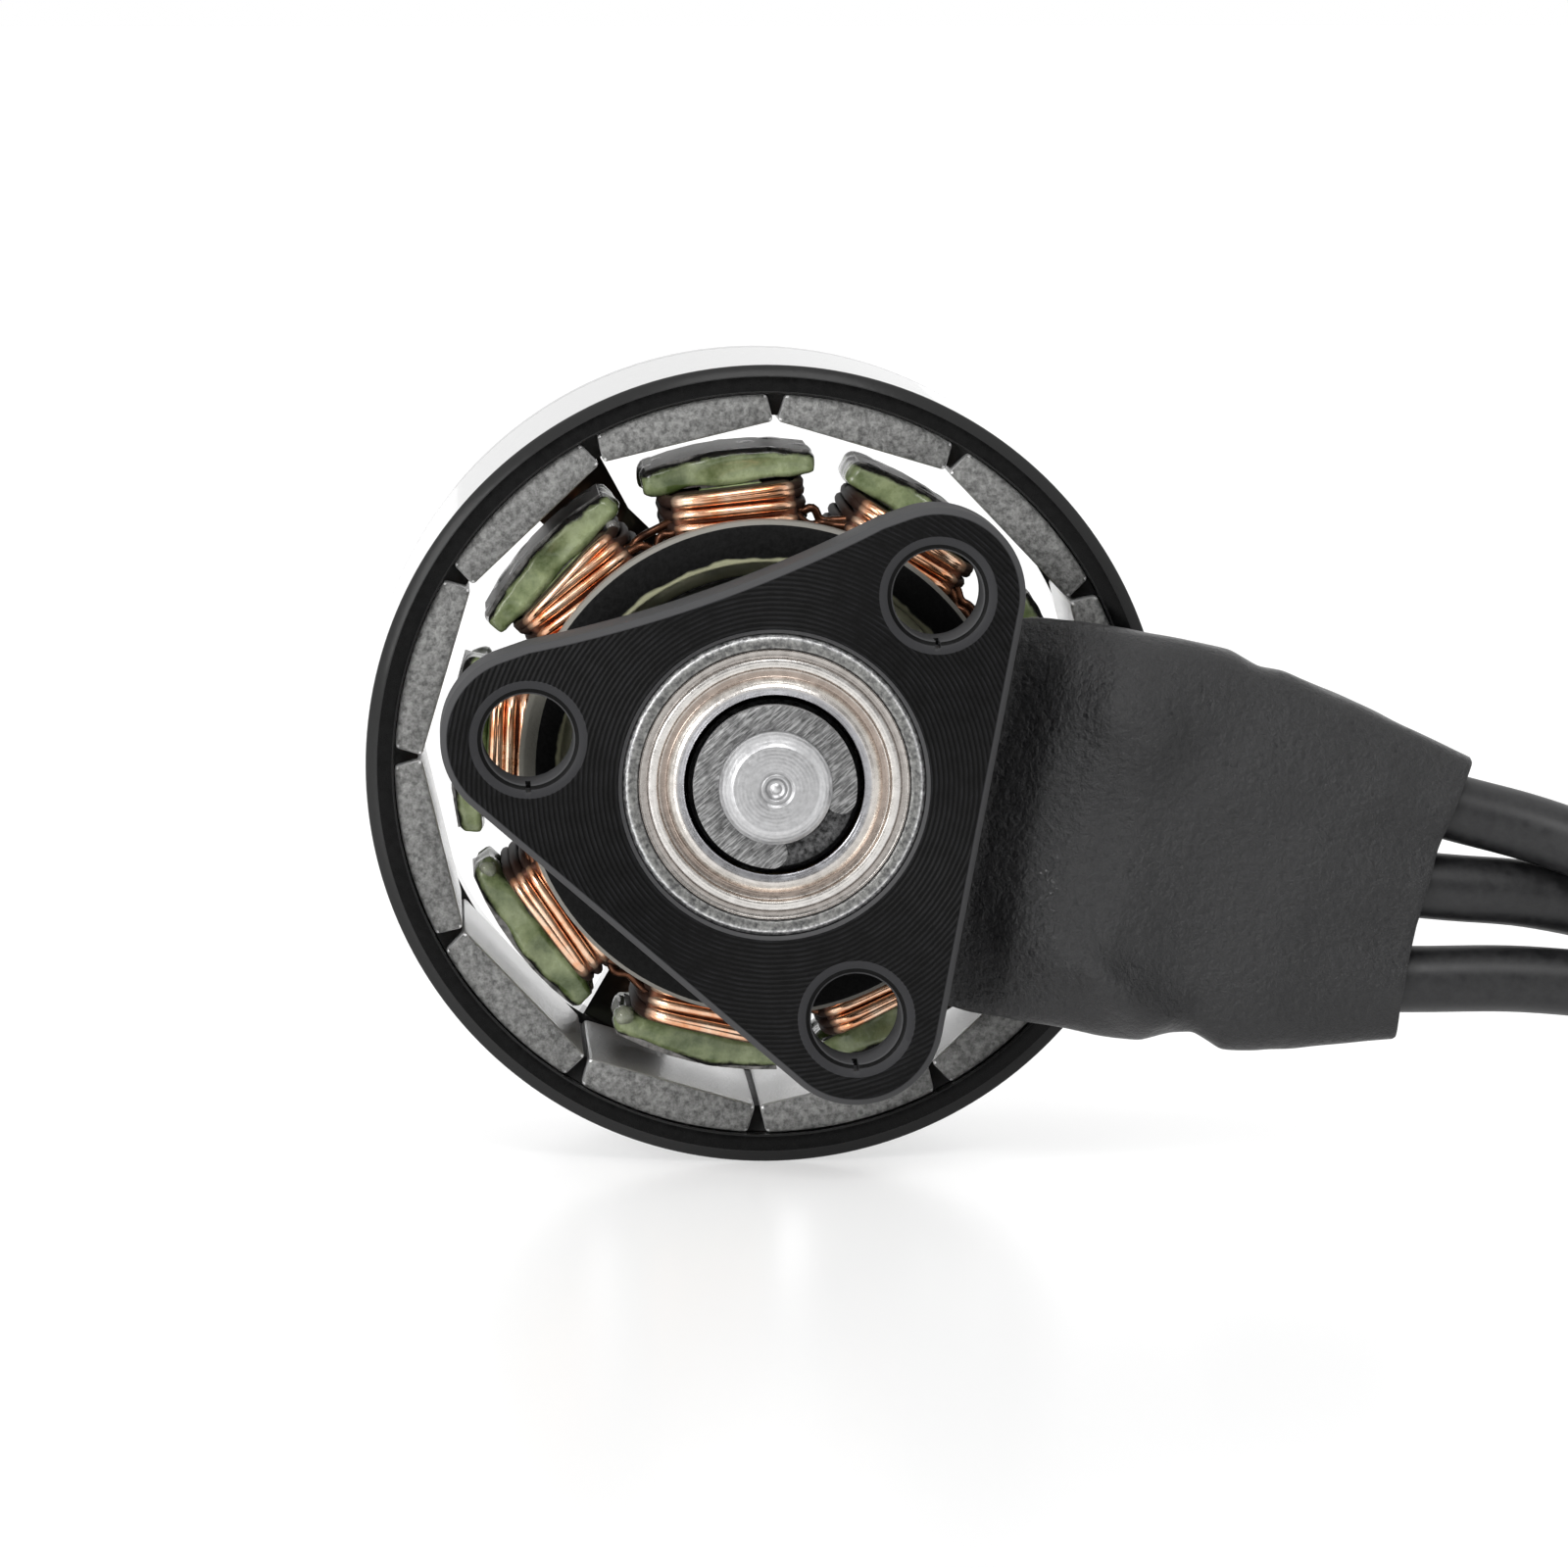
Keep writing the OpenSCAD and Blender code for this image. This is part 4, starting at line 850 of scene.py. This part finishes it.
# Flux ring: a turned steel ring, blackened and glossy, that closes the field of the magnets. A fine bevel runs
# along the edge of its rim, painted a lighter grey as a highlight.
FLUX = [(5.035, 2.4), (5.255, 2.4), (5.385, 2.47), (5.4, 2.5), (5.4, 6.8), (5.02, 6.8), (5.02, 2.42)]
FLUX_GRAIN, RIM_BEVEL_HIGHLIGHT = (0.001, 0.006), 0.04
flux = turned("flux_ring_steel", FLUX, steps=220)
break_edges(flux, 0.012, angle=25)
black_steel = grained("black_steel", FLUX_GRAIN, 8.0, 0.16, spread=0.05, relief=0.0005)
shader_of(black_steel).inputs["IOR"].default_value = ANODISED_IOR
tint_sides(black_steel, RIM_BEVEL_HIGHLIGHT, squareness=0.995)
outer_wall = sides_mask(black_steel.node_tree, 0.3)
tint(black_steel, outer_wall, FLUX_GRAIN[1])
black_steel.node_tree.links.new(outer_wall, shader_of(black_steel).inputs["Coat Weight"])
fit(flux, "rotor", "black_steel", black_steel, "flux_ring")

# Cap: a turned and milled aluminium disc, anodised black, that shuts the far end of the bell. It seats in the
# flux ring, and three sloping spokes join its rim to the hub that grips the shaft.
CAP_IN_R, CAP_Y, CAP_TOP_Y, BELL_R = 4.6, 6.8, 7.55, 5.4
HUB_R, HUB_Y, HUB_END_Y, WEB_T, HUB_IN_R = 1.7, 7.35, 8.8, 0.75, 0.76
SPOKE_W, SPOKE_ROOT_SHARE, SPOKE_ANGLE = 1.0, 1.85, math.radians(127)
CAP_DISC = [(HUB_IN_R, HUB_Y), (2.31, HUB_Y), (CAP_IN_R, CAP_Y), (CAP_IN_R, 6.5), (5.01, 6.5), (5.01, 6.81),
            (BELL_R, 6.81), (BELL_R, 7.2), (5.05, CAP_TOP_Y), (CAP_IN_R, CAP_TOP_Y), (HUB_R, HUB_Y + WEB_T),
            (HUB_R, HUB_END_Y - 0.2), (HUB_R - 0.2, HUB_END_Y), (HUB_IN_R, HUB_END_Y)]
cap = turned("cap_anodised", CAP_DISC, steps=180)
# The openings are cut with a ring that has the spokes, wider at their ends, taken out of it
opening = turned("opening", [(HUB_R, 5), (CAP_IN_R, 5), (CAP_IN_R, 10), (HUB_R, 10)], steps=180)
spoke = block("spoke", (BELL_R - HUB_R + 2, 8, SPOKE_W), ((HUB_R + BELL_R) / 2, 7.5, 0))
edit_all()
bpy.ops.mesh.subdivide(number_cuts=1)
bpy.ops.object.mode_set(mode="OBJECT")
for v in spoke.data.vertices:
    if abs(v.co.x - (HUB_R + BELL_R) / 2) > 1:
        v.co.z *= SPOKE_ROOT_SHARE
for i in range(3):
    combine(opening, copy_at(spoke, SPOKE_ANGLE + i * 2 * math.pi / 3))
bpy.data.objects.remove(spoke)
combine(cap, opening)
break_edges(cap, 0.05, angle=50)
cap_black = grained("cap_black_anodised", ANODISED_GRAIN, 25.0, 0.34, relief=0.001)
shader_of(cap_black).inputs["Coat Weight"].default_value = 1.0
fit(cap, "rotor", "black_anodised", cap_black, "bell_cap", smooth=30)

# Sleeve: black heat shrink, drawn flat over the three soldered joints. It starts tucked in behind the plate,
# swells over the joints, keeps small dents along its edges and ends in a mouth that the leads come out of.
SLEEVE_TURN, SLEEVE_START = math.radians(-10.8), 2.64
# Rows of the sleeve: distance along it, its upper and lower edge, and its front and back face, in millimetres
SLEEVE_ROWS = [(2.64, 2.6, -2.6, 1.34, 1.93), (3.0, 2.68, -2.66, 1.3, 1.96), (3.2, 2.72, -2.68, 1.18, 2.0),
               (3.6, 2.76, -2.66, 0.9, 2.03), (4.2, 2.79, -2.63, 0.63, 2.05), (4.9, 2.8, -2.63, 0.52, 2.05),
               (5.5, 2.77, -2.6, 0.56, 2.05), (5.92, 2.63, -2.42, 0.57, 2.05), (6.2, 2.62, -2.35, 0.57, 2.05),
               (6.6, 2.54, -2.53, 0.57, 2.05), (7.06, 2.43, -2.47, 0.58, 2.04), (8.2, 2.14, -2.17, 0.6, 2.02),
               (9.0, 1.93, -1.97, 0.64, 1.98)]
SLEEVE_END, SLEEVE_SQUARENESS, SLEEVE_SIDES, SLEEVE_STEPS = 9.0, 0.6, 96, 110
MOUTH_L, MOUTH_CURVE, MOUTH_MID, MOUTH_DEPTH, MOUTH_WALL = 8.84, 0.055, -0.7, 0.5, 0.08
LEAD_ACROSS = (1.23, 0.15, -1.14)
RIDGE_W, RIDGE_DIP, RIDGES_FROM, RIDGES_OVER = 0.42, 0.17, 6.4, 2.2
DENT, DENT_SIZE, DENT_SEED = 0.12, 1.2, 3.1
# Bumps of its front face: distance along, distance across, size and height, in millimetres
BUMPS = [(4.05, -1.5, 0.55, 0.24), (4.7, -1.75, 0.35, 0.28), (5.2, -2.0, 0.35, 0.26), (5.7, -2.2, 0.4, 0.18),
         (4.2, 1.9, 0.55, 0.24), (4.9, 1.5, 0.5, 0.16), (4.9, 0.0, 0.9, -0.2)]
SHRINK_GRAIN = (0.009, 0.009, 0.01), (0.018, 0.018, 0.019)


def between_rows(along):
    """The sleeve's edges and faces at a distance along it."""
    for low, high in zip(SLEEVE_ROWS, SLEEVE_ROWS[1:]):
        if along <= high[0]:
            share = max(0.0, (along - low[0]) / (high[0] - low[0]))
            return [a + (b - a) * share for a, b in zip(low[1:], high[1:])]
    return SLEEVE_ROWS[-1][1:]


deselect()
bpy.ops.mesh.primitive_circle_add(vertices=SLEEVE_SIDES, radius=1, location=(SLEEVE_START, 0, 0),
                                  rotation=(0, math.pi / 2, 0))
sleeve = bpy.context.object
sleeve.name = "heat_shrink_sleeve"
settle(sleeve)
step = (SLEEVE_END - SLEEVE_START) / SLEEVE_STEPS
edit_all()
bpy.ops.mesh.edge_face_add()
for i in range(SLEEVE_STEPS):
    bpy.ops.mesh.extrude_region_move(TRANSFORM_OT_translate={"value": (step, 0, 0)})
bpy.ops.mesh.inset(thickness=MOUTH_WALL, depth=0)
bpy.ops.mesh.extrude_region_move(TRANSFORM_OT_translate={"value": (-MOUTH_DEPTH, 0, 0)})
close_outwards()
for v in sleeve.data.vertices:
    along, reach = v.co.x, math.hypot(v.co.y, v.co.z)
    c, s = v.co.z / reach, v.co.y / reach
    top, bottom, front, back = between_rows(along)
    across = (top + bottom) / 2 + math.copysign(abs(c) ** SLEEVE_SQUARENESS, c) * (top - bottom) / 2 * reach
    depth = (front + back) / 2 + math.copysign(abs(s) ** SLEEVE_SQUARENESS, s) * (back - front) / 2 * reach
    late = min(1.0, max(0.0, (along - RIDGES_FROM) / RIDGES_OVER))
    ridge = max(math.exp(-((across - lead) / RIDGE_W) ** 2) for lead in LEAD_ACROSS)
    if s < 0:
        depth += RIDGE_DIP * (1 - ridge) * late * late * -s
        dents = DENT * noise.noise(Vector((along, across, DENT_SEED)) / DENT_SIZE)
        bumps = sum(height * math.exp(-((along - x) ** 2 + (across - z) ** 2) / size ** 2)
                    for x, z, size, height in BUMPS)
        depth += (dents - bumps) * min(1.0, -2 * s)
    mouth = MOUTH_L + MOUTH_CURVE * (across - MOUTH_MID) ** 2
    along = SLEEVE_START + (along - SLEEVE_START) * (mouth - SLEEVE_START) / (SLEEVE_END - SLEEVE_START)
    v.co = (along, depth, across)
work(sleeve, "SMOOTH", factor=0.5, iterations=4)
swell(sleeve, 0.02, 0.5, 5)
moved(sleeve, SLEEVE_TURN)
heat_shrink = grained("heat_shrink", SHRINK_GRAIN, 9.0, 0.3, spread=0.08, relief=0.016)
fit(sleeve, "stator", "heat_shrink", heat_shrink, "heat_shrink", smooth=60)
dress("solder_joints", tin)
dress("winding_tails", wound_copper)

# Table and studio: a white glossy table under the rim of the bell, in an evenly lit white room that is darker
# towards the camera, with one soft lamp in front to the left and one above.
TABLE_Z = -5.4
TABLE_WHITE, TABLE_GLOW = (0.8, 0.8, 0.8), 0.5
ROOM_FRONT, ROOM_BACK, ROOM_DIFFUSE, ROOM_TURN = 0.38, 1.0, 0.38, (0.1, 0.85)
deselect()
bpy.ops.mesh.primitive_plane_add(size=2, location=(0, 0, TABLE_Z * MM))
floor = bpy.context.object
floor.name = "table"
paint = bpy.data.materials.new("table_white")
paint.use_nodes = True
floor.data.materials.append(paint)
shader = shader_of(paint)
shader.inputs["Base Color"].default_value = (*TABLE_WHITE, 1)
shader.inputs["Roughness"].default_value = 0.25
shader.inputs["Emission Color"].default_value = (1, 1, 1, 1)
path = add_node(paint.node_tree, "LightPath").outputs
sight = path["Is Camera Ray"]
for ray in ("Is Glossy Ray", "Is Transmission Ray"):
    sight = calc(paint.node_tree, "MAXIMUM", sight, path[ray])
paint.node_tree.links.new(calc(paint.node_tree, "MULTIPLY", sight, TABLE_GLOW), shader.inputs["Emission Strength"])

world = bpy.data.worlds.new("studio")
bpy.context.scene.world = world
world.use_nodes = True
tree = world.node_tree
background = tree.nodes["Background"]
looking = add_node(tree, "TexCoord").outputs["Generated"]
facing = add_node(tree, "VectorMath", {0: looking, 1: -forward}, operation="DOT_PRODUCT").outputs["Value"]
level = add_node(tree, "MapRange", {"Value": facing, "From Min": ROOM_TURN[0], "From Max": ROOM_TURN[1],
                                    "To Min": ROOM_BACK, "To Max": ROOM_FRONT},
                 interpolation_type="SMOOTHSTEP").outputs[0]
path = add_node(tree, "LightPath").outputs
strength = add_node(tree, "Mix", {"Factor": path["Is Camera Ray"], 2: level, 3: 1.0}).outputs[0]
dimming = calc(tree, "MULTIPLY_ADD", path["Is Diffuse Ray"], ROOM_DIFFUSE - 1, 1.0)
background.inputs["Color"].default_value = (1, 1, 1, 1)
tree.links.new(calc(tree, "MULTIPLY", strength, dimming), background.inputs["Strength"])


def lamp(name, place, size, power):
    """A soft square lamp aimed at the motor. Place and size are in millimetres."""
    light = bpy.data.lights.new(name, "AREA")
    light.size, light.energy = size * MM, power
    made = bpy.data.objects.new(name, light)
    bpy.context.scene.collection.objects.link(made)
    made.location = Vector(place) * MM
    made.rotation_euler = (-made.location).to_track_quat("-Z", "Y").to_euler()


lamp("key", (-100, -112, 50), 70, 0.1)
lamp("top", (10, -115, 115), 70, 0.08)
